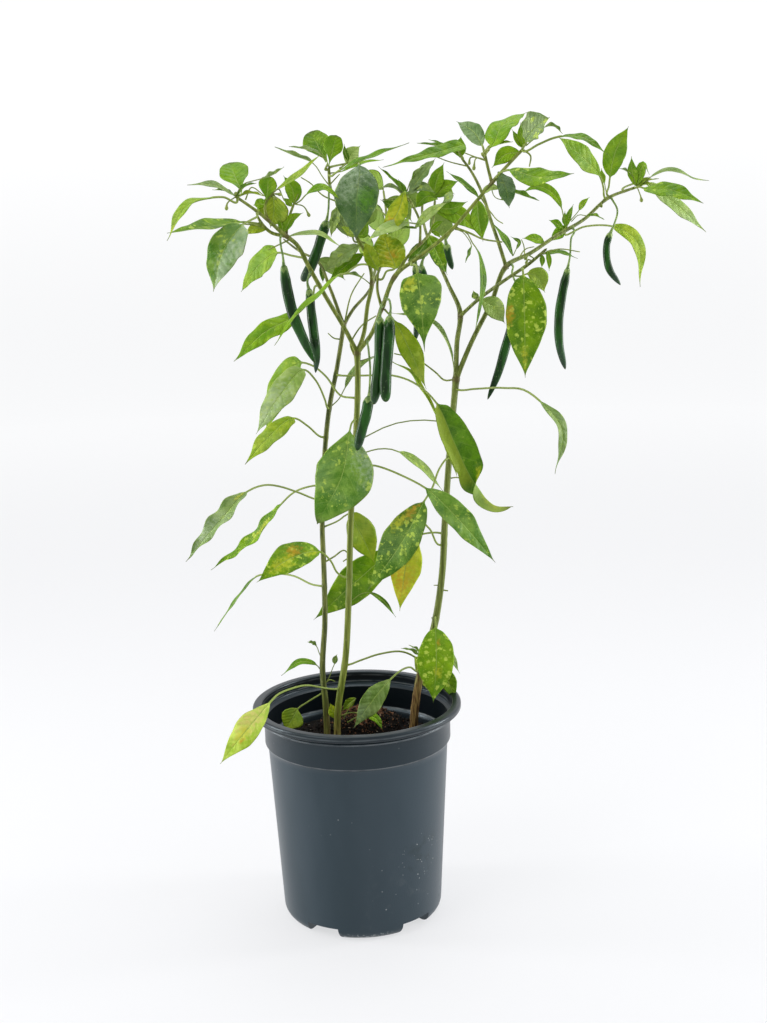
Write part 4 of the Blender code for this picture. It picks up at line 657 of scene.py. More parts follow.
# Colours as linear red, green and blue
TINTS = {
    "orange": (0.44, 0.24, 0.020), "gold": (0.44, 0.46, 0.03), "peach": (0.55, 0.45, 0.16),
    # a leaf's lime rim is painted light shining through its thin edge
    "fleck": (0.44, 0.57, 0.08), "vein": (0.28, 0.40, 0.08), "rim": (0.28, 0.40, 0.04),
    # the pale sheen on leaves is painted sheen
    "stalk": (0.20, 0.26, 0.06), "under": (0.27, 0.36, 0.09), "painted_sheen": (0.38, 0.47, 0.32),
    "tip": (0.085, 0.080, 0.040), "lush": (0.075, 0.215, 0.004), "pale_yellow_green": (0.240, 0.320, 0.032),
    "bark_pale": (0.28, 0.30, 0.12), "bark_crack": (0.06, 0.028, 0.008),
    "bark_fork": (0.085, 0.050, 0.026),
    "twig_dark": (0.13, 0.18, 0.028), "twig_light": (0.25, 0.30, 0.07),
    "pod_dark": (0.003, 0.020, 0.002), "pod_light": (0.014, 0.076, 0.006),
    # the pods' pale specks are painted highlights
    "pod_grey_haze": (0.070, 0.110, 0.085), "pod_painted_glint": (0.16, 0.24, 0.10),
    "pod_neck": (0.07, 0.16, 0.025), "pod_tip": (0.06, 0.07, 0.02),
    "cap_dark": (0.07, 0.14, 0.02), "cap_light": (0.17, 0.26, 0.05), "cap_rib": (0.24, 0.33, 0.09),
    "pot_dark": (0.014, 0.026, 0.035), "pot_light": (0.023, 0.036, 0.047),
    # the pot's darker collar, rim, mouth and inside are painted shade
    "pot_collar_shade": (0.001, 0.008, 0.014), "pot_rim_shade": (0.001, 0.004, 0.006),
    "pot_mouth_shade": (0.001, 0.002, 0.003), "pot_inside": (0.003, 0.006, 0.009),
    "pot_dust": (0.11, 0.12, 0.12), "pot_nick": (0.42, 0.44, 0.44),
    "pot_smudge": (0.007, 0.014, 0.014), "pot_chip": (0.35, 0.37, 0.37),
    # the pale lines along the pot's edges are painted highlights
    "pot_edge_highlight": (0.20, 0.22, 0.23),
}

# Barks: darker and lighter green, the woody foot's brown, and the height in m where it ends
BARKS = {
    "stem_left": ((0.048, 0.066, 0.012), (0.160, 0.182, 0.040), (0.24, 0.17, 0.06), 0.215),
    "stem_middle": ((0.092, 0.128, 0.012), (0.198, 0.236, 0.038), (0.28, 0.22, 0.06), 0.220),
    "stem_right": ((0.074, 0.098, 0.012), (0.182, 0.226, 0.046), (0.28, 0.18, 0.06), 0.262),
}

# Leaf tones: darker and lighter green, how much painted sheen lies on it as a pale haze, and its gloss
TONES = {
    "deep": ((0.042, 0.120, 0.001), (0.095, 0.215, 0.002), 0.05, 0.12),
    "bright": ((0.090, 0.215, 0.001), (0.175, 0.315, 0.004), 0.03, 0.10),
    "lime": ((0.160, 0.265, 0.004), (0.285, 0.375, 0.022), 0.08, 0.10),
    "leafy": ((0.036, 0.112, 0.003), (0.110, 0.222, 0.018), 0.08, 0.14),
    "slate": ((0.065, 0.145, 0.032), (0.160, 0.255, 0.095), 0.20, 0.25),
    "grey": ((0.090, 0.170, 0.022), (0.190, 0.275, 0.075), 0.24, 0.22),
    "pale": ((0.175, 0.285, 0.045), (0.310, 0.415, 0.120), 0.26, 0.16),
    "sheen": ((0.024, 0.085, 0.010), (0.070, 0.145, 0.040), 0.26, 0.28),
    "mild": ((0.050, 0.150, 0.006), (0.140, 0.262, 0.030), 0.10, 0.18),
    "fresh": ((0.115, 0.238, 0.005), (0.220, 0.345, 0.018), 0.08, 0.10),
    "half_grey": ((0.058, 0.172, 0.007), (0.160, 0.290, 0.036), 0.14, 0.20),
    "half_pale": ((0.040, 0.125, 0.001), (0.090, 0.220, 0.002), 0.03, 0.12),
    "spotted": ((0.062, 0.160, 0.001), (0.145, 0.275, 0.002), 0.04, 0.10),
    "yellow": ((0.130, 0.230, 0.002), (0.310, 0.370, 0.008), 0.02, 0.10),
    "amber": ((0.310, 0.420, 0.008), (0.560, 0.590, 0.040), 0.02, 0.10),
    "peach": ((0.270, 0.410, 0.025), (0.450, 0.560, 0.090), 0.08, 0.10),
}

BRANCHES = {name: np.array(route, float)
            for branches in STEMS.values() for name, route in branches.items()}


# ---------------------------------------------------------------- lines and surfaces

def seen(board):
    """Board points (x, z, y) in mm to metres: each is moved along its sight line from EYE
    until its depth is y, opened fore and aft where it lies in the crown."""
    x, z, y = np.atleast_2d(np.asarray(board, float))[:, :3].T
    lift = np.clip((z - CROWN_FOOT) / (CROWN_FULL - CROWN_FOOT), 0, 1)
    depth = y * (1 + (CROWN_DEPTH - 1) * lift)
    on_board = np.stack([x, np.zeros_like(x), z], 1)
    return (EYE + (on_board - EYE) * ((depth - EYE[1]) / -EYE[1])[:, None]) * MM


def curve(points, count):
    """count rows, evenly apart, on a smooth line through the points: cubic spans whose slope
    at each point is that of its neighbours' chord. Columns past the third are carried along."""
    points = np.asarray(points, float)
    chords = np.linalg.norm(np.diff(points[:, :3], axis=0), axis=1)
    knots = np.concatenate([[0], np.cumsum(np.maximum(chords, 1e-9))])
    slopes = np.gradient(points, knots, axis=0)
    at = np.linspace(0, knots[-1], 40 * len(points))
    k = np.clip(np.searchsorted(knots, at, side="right") - 1, 0, len(points) - 2)
    span = (knots[k + 1] - knots[k])[:, None]
    t = (at - knots[k])[:, None] / span
    line = ((2 * t**3 - 3 * t**2 + 1) * points[k] + (t**3 - 2 * t**2 + t) * span * slopes[k]
            + (3 * t**2 - 2 * t**3) * points[k + 1] + (t**3 - t**2) * span * slopes[k + 1])
    return spread(line, np.linspace(0, 1, count))


def lengths(line):
    """Distance along a line of points to each of them."""
    return np.concatenate([[0], np.cumsum(np.linalg.norm(np.diff(line[:, :3], axis=0), axis=1))])


def spread(line, shares):
    """The line's rows at the given shares of its length."""
    run = lengths(line)
    return np.stack([np.interp(shares * run[-1], run, column) for column in line.T], 1)


def unit(vectors):
    return vectors / np.maximum(np.linalg.norm(vectors, axis=-1, keepdims=True), 1e-12)


def carried(line, facing):
    """Upward normal and side of each row of a line; the normal starts as the facing at the far
    end and is carried back, turned only as much as the line bends."""
    tangents = unit(np.gradient(line[:, :3], axis=0))
    ups = np.empty_like(tangents)
    up = np.asarray(facing, float)
    for k in range(len(line) - 1, -1, -1):
        up = unit(up - tangents[k] * (up @ tangents[k]))
        ups[k] = up
    return ups, np.cross(tangents, ups)


def smooth(share):
    """0 up to 0 and 1 from 1, with a soft start and end."""
    share = np.clip(share, 0, 1)
    return share**2 * (3 - 2 * share)


def ring_corners(line, ups, sides, out, rise):
    """Corners round a line, in metres: out along its sides and rise along its normals."""
    return line[..., :3] + sides * out[..., None] + ups * rise[..., None]


def ring_quads(index):
    """Quads between neighbouring rings of corner numbers, an array (rings, corners round)."""
    after = np.roll(index, -1, axis=1)
    return np.stack([index[:-1], after[:-1], after[1:], index[1:]], -1).reshape(-1, 4)


class Skin:
    """A surface before it becomes a mesh: its corners, the corner numbers of its faces end to
    end, the size of each face, and values at the corners."""

    def __init__(self, corners, loops, sizes, values):
        self.corners = corners
        self.loops = loops
        self.sizes = sizes
        self.values = values

    @classmethod
    def over(cls, rings, **values):
        """Rings of corners, an array (rings, corners round, 3), joined to their neighbours and
        closed at both ends by a fan round the end ring's middle. Faces are turned outward."""
        count, around = rings.shape[:2]
        index = np.arange(count * around).reshape(count, around)
        quads = ring_quads(index)
        hub = np.full(around, count * around)
        fans = np.concatenate([np.stack([np.roll(index[0], -1), index[0], hub], -1),
                               np.stack([index[-1], np.roll(index[-1], -1), hub + 1], -1)])
        corners = np.concatenate([rings.reshape(-1, 3), rings[[0, -1]].mean(axis=1)])
        triangles = np.concatenate([quads[:, [0, 1, 2]], quads[:, [0, 2, 3]], fans])
        a, b, c = (corners[triangles[:, k]] for k in range(3))
        if np.einsum("ij,ij->i", a, np.cross(b, c)).sum() < 0:
            quads, fans = quads[:, ::-1], fans[:, ::-1]
        rows = {key: np.concatenate([value.reshape(-1, 3), value[[0, -1]].mean(axis=1)])
                for key, value in values.items()}
        loops = np.concatenate([quads.ravel(), fans.ravel()])
        return cls(corners, loops, np.repeat([4, 3], [len(quads), len(fans)]), rows)

    @classmethod
    def joined(cls, skins):
        """Several surfaces as one, which keep their own corners."""
        starts = np.cumsum([0] + [len(skin.corners) for skin in skins[:-1]])
        loops = np.concatenate([skin.loops + start for skin, start in zip(skins, starts)])
        sizes = np.concatenate([skin.sizes for skin in skins])
        values = {key: np.concatenate([skin.values[key] for skin in skins])
                  for key in skins[0].values}
        return cls(np.concatenate([skin.corners for skin in skins]), loops, sizes, values)

    def mesh(self, name):
        mesh = bpy.data.meshes.new(name)
        mesh.vertices.add(len(self.corners))
        mesh.vertices.foreach_set("co", self.corners.astype(np.float32).ravel())
        mesh.loops.add(len(self.loops))
        mesh.loops.foreach_set("vertex_index", self.loops.astype(np.int32))
        mesh.polygons.add(len(self.sizes))
        starts = np.cumsum(self.sizes) - self.sizes
        mesh.polygons.foreach_set("loop_start", starts.astype(np.int32))
        mesh.update(calc_edges=True)
        for key, rows in self.values.items():
            layer = mesh.attributes.new(key, "FLOAT_VECTOR", "POINT")
            layer.data.foreach_set("vector", rows.astype(np.float32).ravel())
        mesh.shade_smooth()
        return mesh


def add_object(name, data):
    """A new object in the scene."""
    made = bpy.data.objects.new(name, data)
    bpy.context.scene.collection.objects.link(made)
    return made


def add_piece(name, mesh, looks, stands_for=None):
    """A finished piece on the plant's one body, with its looks; the frame's part that it stands for, if
    any, is hidden.
    """
    piece = add_object(name, mesh)
    for look in looks:
        mesh.materials.append(look)
    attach(piece, "root")
    if stands_for:
        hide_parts(stands_for)
    return piece


# ---------------------------------------------------------------- looks

class Shade:
    """A value that varies over a surface. Sums and products of it add Math nodes."""

    def __init__(self, look, socket):
        self.look = look
        self.socket = socket

    def math(self, operation, *others):
        inputs = dict(enumerate((self, *others)))
        return self.look.node("ShaderNodeMath", {"operation": operation}, inputs)

    def __add__(self, other):
        return self.math("ADD", other)

    def __sub__(self, other):
        return self.math("SUBTRACT", other)

    def __rsub__(self, other):
        return self.look.node("ShaderNodeMath", {"operation": "SUBTRACT"}, {0: other, 1: self})

    def __mul__(self, other):
        return self.math("MULTIPLY", other)

    __radd__ = __add__
    __rmul__ = __mul__

    def absolute(self):
        return self.math("ABSOLUTE")

    def fraction(self):
        return self.math("FRACT")

    def most(self, other):
        return self.math("MAXIMUM", other)

    def rise(self, low, high):
        """0 up to low and 1 from high, with a soft start and end; low may be the larger."""
        return self.look.node("ShaderNodeMapRange", {"interpolation_type": "SMOOTHSTEP"},
                              {"Value": self, "From Min": low, "From Max": high})


class Look:
    """A material in the making, round one Principled shader."""

    def __init__(self, name, constants):
        self.material = bpy.data.materials.new(name)
        self.material.use_nodes = True
        self.tree = self.material.node_tree
        self.shader = self.tree.nodes["Principled BSDF"]
        for socket, value in constants.items():
            self.shader.inputs[socket].default_value = value

    def node(self, kind, settings, inputs, output=0):
        """A node of any type: its settings are set first, then its sockets' values or links."""
        added = self.tree.nodes.new(kind)
        for key, value in settings.items():
            setattr(added, key, value)
        for key, value in inputs.items():
            if isinstance(value, Shade):
                self.tree.links.new(value.socket, added.inputs[key])
            else:
                added.inputs[key].default_value = value
        return Shade(self, added.outputs[output])

    def split(self, vector):
        """The three numbers of a vector."""
        return [self.node("ShaderNodeSeparateXYZ", {}, {0: vector}, k) for k in range(3)]

    def attribute(self, name):
        """The three numbers of a piece's own attribute."""
        return self.split(self.node("ShaderNodeAttribute", {"attribute_name": name}, {}, "Vector"))

    def place(self):
        return self.node("ShaderNodeTexCoord", {}, {}, "Object")

    def stretched(self, upright):
        """Object coordinates scaled along Z alone; below 1 draws a pattern out upright."""
        return self.node("ShaderNodeMapping", {},
                         {"Vector": self.place(), "Scale": (1.0, 1.0, upright)})

    def warped(self, scale, amount):
        """Object coordinates pushed about by noise, by up to amount metres."""
        push = self.node("ShaderNodeTexNoise", {}, {"Vector": self.place(), "Scale": scale}, 1)
        return self.node("ShaderNodeVectorMath", {"operation": "MULTIPLY_ADD"},
                         {0: push, 1: (amount,) * 3, 2: self.place()})

    def noise(self, scale, detail=2.0, where=None):
        return self.node("ShaderNodeTexNoise", {}, {"Vector": where or self.place(),
                                                    "Scale": scale, "Detail": detail})

    def cells(self, scale, feature="F1", where=None):
        return self.node("ShaderNodeTexVoronoi", {"feature": feature},
                         {"Vector": where or self.place(), "Scale": scale})

    def mix(self, share, first, second):
        """From the first colour to the second."""
        first, second = ((*c, 1.0) if isinstance(c, tuple) else c for c in (first, second))
        return self.node("ShaderNodeMix", {"data_type": "RGBA"},
                         {0: share, 6: first, 7: second}, 2)

    def tint(self, share, colour, name):
        """From the colour to one of TINTS."""
        return self.mix(share, colour, TINTS[name])

    def tints(self, share, first, second):
        """From one of TINTS to another."""
        return self.mix(share, TINTS[first], TINTS[second])

    def finish(self, colour, roughness, height=None, depth=0.0):
        """Links what varies; height is a relief of depth metres."""
        links = {"Base Color": colour, "Roughness": roughness}
        if height is not None:
            links["Normal"] = self.node("ShaderNodeBump", {}, {
                "Strength": 1.0, "Distance": depth, "Height": height})
        for socket, value in links.items():
            self.tree.links.new(value.socket, self.shader.inputs[socket])
        return self.material


def leaf_look(name, tone, flecks, patches=()):
    """Leaf tissue: two greens in soft blotches, pale midrib and side veins with finer netting,
    painted shade in the grooves beside the side veins, ragged flecks in clusters, ageing
    patches, painted sheen as a pale haze and in patches, a lime rim painted as light shining
    through the thin edge, a dark drawn-out tip and a paler underside. Tone half_grey has
    painted sheen on its left, and half_pale is paler on the right of its upper part and all
    over its tail."""
    dark, light, painted_sheen, gloss = TONES[tone]
    look = Look(name, {"Specular IOR Level": gloss, "IOR": 1.45})
    along, across, under = look.attribute("blade")
    vein, width_mm, _ = look.attribute("veins")
    blotch = look.noise(75, 3)
    mottle = look.noise(230, 3)
    net = look.cells(520, "DISTANCE_TO_EDGE")
    line = ((vein + across.rise(-0.001, 0.001) * VEIN_SHIFT).fraction() - 0.5).absolute()
    patchy = look.noise(45, 2).rise(0.38, 0.62)
    haze = look.noise(30, 2).rise(0.42, 0.68)
    colour = look.mix(blotch.rise(0.36, 0.66), dark, light)
    colour = look.mix(mottle.rise(0.50, 0.72) * 0.45, colour, dark)
    colour = look.mix(mottle.rise(0.48, 0.30) * 0.35, colour, light)
    colour = look.tint(net.rise(0.10, 0.0) * 0.16, colour, "vein")
    # painted shade in the grooves beside the side veins
    colour = look.mix(line.rise(0.26, 0.05) * patchy * 0.22, colour, dark)
    # painted sheen: a pale haze over the blade
    colour = look.tint(haze * painted_sheen, colour, "painted_sheen")
    # painted sheen over the left half of the blade
    if tone == "half_grey":
        painted_half_sheen = across.rise(0.04, -0.25) * look.noise(60, 3).rise(0.25, 0.75)
        colour = look.tint(painted_half_sheen * 0.8, colour, "painted_sheen")
    # paler yellow green on the right of the upper part and all over the tail
    if tone == "half_pale":
        half = across.rise(-0.02, 0.06) * along.rise(0.68, 0.58)
        tail = along.rise(0.78, 0.88)
        colour = look.tint(half.most(tail) * 0.85, colour, "pale_yellow_green")
    colour = look.tint(leaf_flecks(look, flecks) * (0.25 + 0.55 * flecks), colour, "fleck")
    colour = leaf_patches(look, colour, along, across, patches)
    side_vein = line.rise(0.075, 0.0) * across.absolute().rise(0.95, 0.4)
    midrib = width_mm.absolute().rise(0.75, 0.2) * along.rise(1.0, 0.5)
    ribs = midrib.most(side_vein * (patchy * 0.25 + 0.12))
    colour = look.tint(ribs * (0.25 if tone == "sheen" else 0.6), colour, "vein")
    # the lime rim is painted light shining through the thin edge
    colour = look.tint(across.absolute().rise(0.94, 0.99) * 0.5, colour, "rim")
    colour = look.tint(under * 0.5, colour, "under")
    colour = look.tint(along.rise(0.03, -0.01), colour, "stalk")
    colour = look.tint(along.rise(0.90, 1.0) * 0.6, colour, "tip")
    height = ribs * -0.5 + line.rise(0.0, 0.35) * 0.3 + net * 0.4 + mottle
    return look.finish(colour, 0.36 + blotch * 0.18 + under * 0.15, height, 0.0007)


def leaf_flecks(look, flecks):
    """Ragged dots of two sizes, which stand in clusters; more flecks widen the clusters."""
    ragged = look.warped(200, 0.009)
    gate = look.noise(60, 2).rise(0.62 - 0.26 * flecks, 0.68 - 0.20 * flecks)
    dots = look.cells(135, where=ragged).rise(0.36, 0.22)
    small = look.cells(300, where=ragged).rise(0.28, 0.14)
    return dots.most(small * 0.7) * gate


def leaf_patches(look, colour, along, across, patches):
    """Each patch is an ellipse on the blade, drawn out across it, with a grainy edge."""
    grain = look.noise(330, 3)
    for share, beside, size, tint in patches:
        off_along = (along - share) * (1 / size)
        off_across = (across - beside) * (0.32 / size)
        reach = off_along * off_along + off_across * off_across + (grain - 0.5) * 5.0
        # patches of pale sheen are painted sheen, laid on more lightly
        strength = 0.45 if tint == "painted_sheen" else 0.75
        colour = look.tint(reach.rise(1.6, -0.8) * strength, colour, tint)
    return colour


def bark_look(name, dark, light, woody, foot_height):
    """Green bark in long ridges, brown and cracked up to foot_height metres, purple brown
    at the forks."""
    look = Look(name, {"Specular IOR Level": 0.22})
    turn, along, fork = look.attribute("bark")
    _, _, height = look.split(look.place())
    streak = look.noise(420, 3, look.stretched(0.06))
    stripes = ((turn * 5 + along * 0.012).fraction() - 0.5).absolute()
    colour = look.mix(streak.rise(0.34, 0.66), dark, light)
    colour = look.mix(stripes.rise(0.18, 0.02) * 0.5, colour, dark)
    pale = look.noise(190, 3).rise(0.62, 0.74)
    colour = look.tint(pale * 0.35, colour, "bark_pale")
    wood = (height + (streak - 0.5) * 0.09).rise(foot_height, foot_height - 0.05)
    cracks = look.noise(560, 4, look.stretched(0.12))
    brown = look.mix(cracks.rise(0.36, 0.62), TINTS["bark_crack"], woody)
    colour = look.mix(wood, colour, brown)
    colour = look.tint(fork.rise(0.40, 1.0) * 0.6, colour, "bark_fork")
    relief = streak * 0.5 + cracks * wood * 1.5 + stripes
    return look.finish(colour, 0.45 + wood * 0.3, relief, 0.0004)


def stalk_look():
    """Leaf stalks and twigs: smooth olive green."""
    look = Look("twig_green", {"Specular IOR Level": 0.2})
    streak = look.noise(300, 2, look.stretched(0.3))
    colour = look.tints(streak.rise(0.35, 0.65), "twig_dark", "twig_light")
    return look.finish(colour, 0.45 + streak * 0.1, streak, 0.0002)


def pod_look():
    """Waxy pod skin: very dark green with faint lengthwise clouding, a grey haze on its lower
    half in places, painted highlights as clusters of pale specks, and a paler neck and tip."""
    look = Look("pod_green", {"Specular IOR Level": 0.10, "Coat Weight": 0.24,
                              "Coat Roughness": 0.05, "Coat IOR": 1.4})
    along, _, _ = look.attribute("pod")
    cloud = look.noise(150, 3, look.stretched(0.22))
    fine = look.noise(700, 2)
    colour = look.tints(cloud.rise(0.35, 0.7), "pod_dark", "pod_light")
    # a grey haze towards the tip, in places
    grey_haze = along.rise(0.55, 0.9) * look.noise(40, 2).rise(0.40, 0.60)
    colour = look.tint(grey_haze * 0.35, colour, "pod_grey_haze")
    # painted highlights: pale specks in clusters
    painted_glints = look.cells(420, where=look.warped(300, 0.003)).rise(0.26, 0.10)
    clusters = look.noise(60, 2).rise(0.46, 0.62)
    colour = look.tint(painted_glints * clusters * 0.5, colour, "pod_painted_glint")
    colour = look.tint(along.rise(0.12, 0.02) * 0.6, colour, "pod_neck")
    colour = look.tint(along.rise(0.95, 1.0) * 0.5, colour, "pod_tip")
    return look.finish(colour, 0.22 + cloud * 0.1 + fine * 0.05, fine * 0.3 + cloud, 0.0002)


def cap_look():
    """The calyx and pod stalk: mid green with fine ribs."""
    look = Look("calyx_green", {"Specular IOR Level": 0.45})
    _, turn, _ = look.attribute("pod")
    ribs = ((turn * 5).fraction() - 0.5).absolute()
    mottle = look.noise(260, 2)
    colour = look.tints(mottle.rise(0.35, 0.65), "cap_dark", "cap_light")
    colour = look.tint(ribs.rise(0.16, 0.0) * 0.4, colour, "cap_rib")
    return look.finish(colour, 0.42 + mottle * 0.1, ribs * -0.6 + mottle, 0.0003)


def pot_look():
    """Slate grey plastic: satin, with drawn-down streaks, painted shade darkening the collar, the
    rim and the inside, wear marks, and painted highlight lines along its edges."""
    look = Look("pot_slate", {"Specular IOR Level": 0.46,
                              "Specular Tint": (0.78, 0.92, 1.0, 1.0)})
    x, y, height = look.split(look.place())
    radius = (x * x + y * y).math("SQRT")
    cloud = look.noise(14, 3, look.stretched(0.35))
    colour = look.tints(cloud.rise(0.35, 0.65), "pot_dark", "pot_light")
    # painted shade: the collar and all above it darker
    upper = height.rise((COLLAR_FOOT - 1.5) * MM, (COLLAR_FOOT - 0.5) * MM)
    colour = look.tint(upper * 0.8, colour, "pot_collar_shade")
    # painted shade: the rim darker still
    rim = height.rise((RIM_TOP - 9.0) * MM, (RIM_TOP - 7.0) * MM)
    colour = look.tint(rim * 0.95, colour, "pot_rim_shade")
    # painted shade in the mouth, inside the collar and the lip
    collar_inside = radius.rise((COLLAR_RADIUS - 0.5) * MM, (COLLAR_RADIUS - 1.0) * MM) * upper
    lip_inside = radius.rise((LIP_RADIUS + 2.2) * MM, (LIP_RADIUS + 1.6) * MM) * rim
    colour = look.tint(collar_inside.most(lip_inside) * 0.9, colour, "pot_mouth_shade")
    # painted shade on the inside wall and, more lightly, over everything above the step
    taper = (BODY_TOP_RADIUS - BODY_FOOT_RADIUS) / COLLAR_FOOT
    inward = (BODY_FOOT_RADIUS - 1.2) * MM + height * taper - radius
    inside = inward.rise(-0.0004, 0.0004) * height.rise(0.010, 0.014)
    above_step = height.rise((COLLAR_FOOT - 1.0) * MM, (COLLAR_FOOT + 1.0) * MM)
    colour = look.tint(inside.most(above_step * 0.55) * 0.8, colour, "pot_inside")
    colour, dust, nick = pot_wear_and_highlights(look, colour, x, y, height)
    grain = look.noise(900, 2)
    return look.finish(colour, 0.28 + cloud * 0.12 + dust * 0.2, grain * 0.35 + nick, 0.0002)


def pot_wear_and_highlights(look, colour, x, y, height):
    """The pot's colour with dust low on the right of its wall, white nicks, a scuffed patch and
    chips on the foot, both on the front, and painted highlight lines, broken up, along the
    edges of the step, neck and rim.
    Also the dust and the nicks alone."""
    front = y.rise(0.0, -0.02)
    low = height.rise(0.11, 0.0) * x.rise(-0.03, 0.05)
    dust = look.noise(60, 4).rise(0.56, 0.74) * low
    colour = look.tint(dust * 0.3, colour, "pot_dust")
    nick = look.cells(120).rise(0.13, 0.05) * look.noise(16, 2).rise(0.58, 0.70)
    colour = look.tint(nick * (0.25 + low * 0.6), colour, "pot_nick")
    beside, above = ((value - place * MM) * (1 / (reach * MM))
                     for value, place, reach in zip((x, height), SCUFF_PLACE, SCUFF_REACH))
    patch = (beside * beside + above * above).rise(1.0, 0.2) * front
    smudge = look.noise(70, 3).rise(0.50, 0.66)
    colour = look.tint(smudge * patch * 0.5, colour, "pot_smudge")
    scratch = look.cells(300, where=look.warped(260, 0.006)).rise(0.24, 0.12)
    scratch = scratch * patch * look.noise(110, 2).rise(0.5, 0.62)
    colour = look.tint(scratch * 0.8, colour, "pot_nick")
    front_foot = height.rise(9 * MM, 5 * MM) * x.absolute().rise(30 * MM, 20 * MM) * front
    chips = look.noise(420, 2).rise(0.55, 0.63) * front_foot
    colour = look.tint(chips * 0.7, colour, "pot_chip")
    # painted highlights: pale lines along the step, neck and rim edges, broken up by noise
    edge = (height - COLLAR_FOOT * MM).absolute().rise(0.0012, 0.0004)
    neck = (height - (RIM_TOP - 2 * RIM_BEAD - NECK_DROP) * MM).absolute().rise(0.0010, 0.0004)
    brim = (height - (RIM_TOP - RIM_BEAD) * MM).absolute().rise(0.0010, 0.0004)
    highlight_breaks = look.noise(75, 4, look.stretched(4.0)).rise(0.25, 0.60)
    edge_highlights = edge.most(neck).most(brim * 0.5) * highlight_breaks
    return look.tint(edge_highlights * 0.5, colour, "pot_edge_highlight"), dust, nick


def soil_look(name, dark, light, fibre):
    """Loose potting mix: crumbs from the dark to the light colour, mixed with fibre."""
    look = Look(name, {"Specular IOR Level": 0.25})
    crumbs = look.noise(260, 6)
    colour = look.mix(crumbs.rise(0.34, 0.66), dark, light)
    colour = look.mix(look.noise(120, 4).rise(0.5, 0.68) * 0.8, colour, fibre)
    return look.finish(colour, 0.82 + crumbs * 0.15, crumbs, 0.0015)


# ---------------------------------------------------------------- plant

def grown_from(branch, height, towards):
    """Where a stalk leaves a branch, just inside its bark, and its way out of it: at right
    angles to the branch, towards the given point."""
    route = curve(BRANCHES[branch], 200)
    k = int(np.argmin(np.abs(route[:, 1] - height)))
    low, high = route[max(k - 1, 0)], route[min(k + 1, len(route) - 1)]
    core = seen(route[k])[0]
    along = unit(seen(high)[0] - seen(low)[0])
    out = towards - core
    out = unit(out - along * (out @ along))
    return core + out * route[k, 3] * STALK_SEAT * MM, out


def stalk_points(branch, height, stalk, body):
    """From the branch and straight out of it, then along the stalk and the body, in metres."""
    start, out = grown_from(branch, height, seen(stalk[0])[0])
    return np.concatenate([[start, start + out * STALK_RUN * MM], seen(stalk), seen(body)])


def depth_near(branch, x, z):
    """The board depth of a branch where it passes nearest to (x, z)."""
    route = curve(BRANCHES[branch], 120)
    return route[np.argmin(np.hypot(route[:, 0] - x, route[:, 1] - z)), 2]


def stalk_and_body(points, body_start, stalk_rings, body_rings):
    """A smooth line through the points, its rows spread evenly over the stalk and then over
    the body that begins at body_start. Also each row's share of the body, below zero on the
    stalk, and the body's length in mm."""
    line = curve(points, 400)
    run = lengths(line)
    start = run[np.argmin(np.linalg.norm(line - body_start, axis=1))]
    body = np.linspace(0, 1, body_rings)
    places = np.concatenate([np.linspace(0, start, stalk_rings, endpoint=False),
                             start + (run[-1] - start) * body])
    shares = (places - start) / (run[-1] - start)
    return spread(line, places / run[-1]), shares, (run[-1] - start) / MM


def blade_half_width(u, v, width, form, phase):
    """Half the width of a blade in mm at share u of its length, and at v, -1 to 1, across it.

    It is the sine of pi times u to a power that puts the widest place at belly, all to a
    power that runs from the base's to the tip's with u to the 1.5, and it joins a thin drip
    tip. Two slow waves make each edge uneven, and one side is a little wider."""
    power = form.base + (form.tip - form.base) * u**1.5
    full = (u / (1 - form.drip)).clip(0, 1)
    full = full ** (math.log(0.5) / math.log(form.belly / (1 - form.drip)))
    full = np.sin(np.pi * full).clip(0, 1) ** power
    outline = np.sqrt(full**2 + (0.20 * (1 - u) ** 0.7 * np.clip(u * 2, 0, 1)) ** 2)
    side = np.where(v > 0, 1.0, -1.0)
    uneven = 1 + 0.05 * np.sin(2 * np.pi * 1.3 * u + phase[0] + side) * np.abs(v)
    uneven = uneven + 0.012 * np.sin(2 * np.pi * 5.3 * u + phase[1] + 2 * side) * np.abs(v)
    uneven = uneven + 0.06 * np.sin(phase[3]) * side
    return np.maximum(width / 2 * outline, 0.45 - 0.25 * u) * uneven


def blade_rise(u, v, half, vein, width, form, phase):
    """How far the middle of a blade's tissue stands above its line, mm: the edge rises with the
    fold and with the square of the way out times the curl, and waves as a sine along the
    blade; between side veins the tissue is puffed up."""
    keel = np.sqrt(v**2 + 0.004) - 0.063
    rise = half * (form.fold * keel / np.sqrt(1 + form.fold**2) + form.curl * v**2)
    side = np.where(v > 0, 1.0, -1.0)
    swing = np.sin(2 * np.pi * form.waves * u + phase[1] + side * phase[2])
    rise = rise + form.wave * np.abs(v) ** 2.5 * swing * np.sin(np.pi * u) ** 0.5
    shifted = vein + np.where(v > 0, VEIN_SHIFT, 0.0) + 0.5
    puff = np.sin(np.pi * shifted) ** 2 * np.abs(v) * (1 - v**2) * 2.2
    return rise + puff * min(0.4, width * 0.011) * np.sin(np.pi * u)


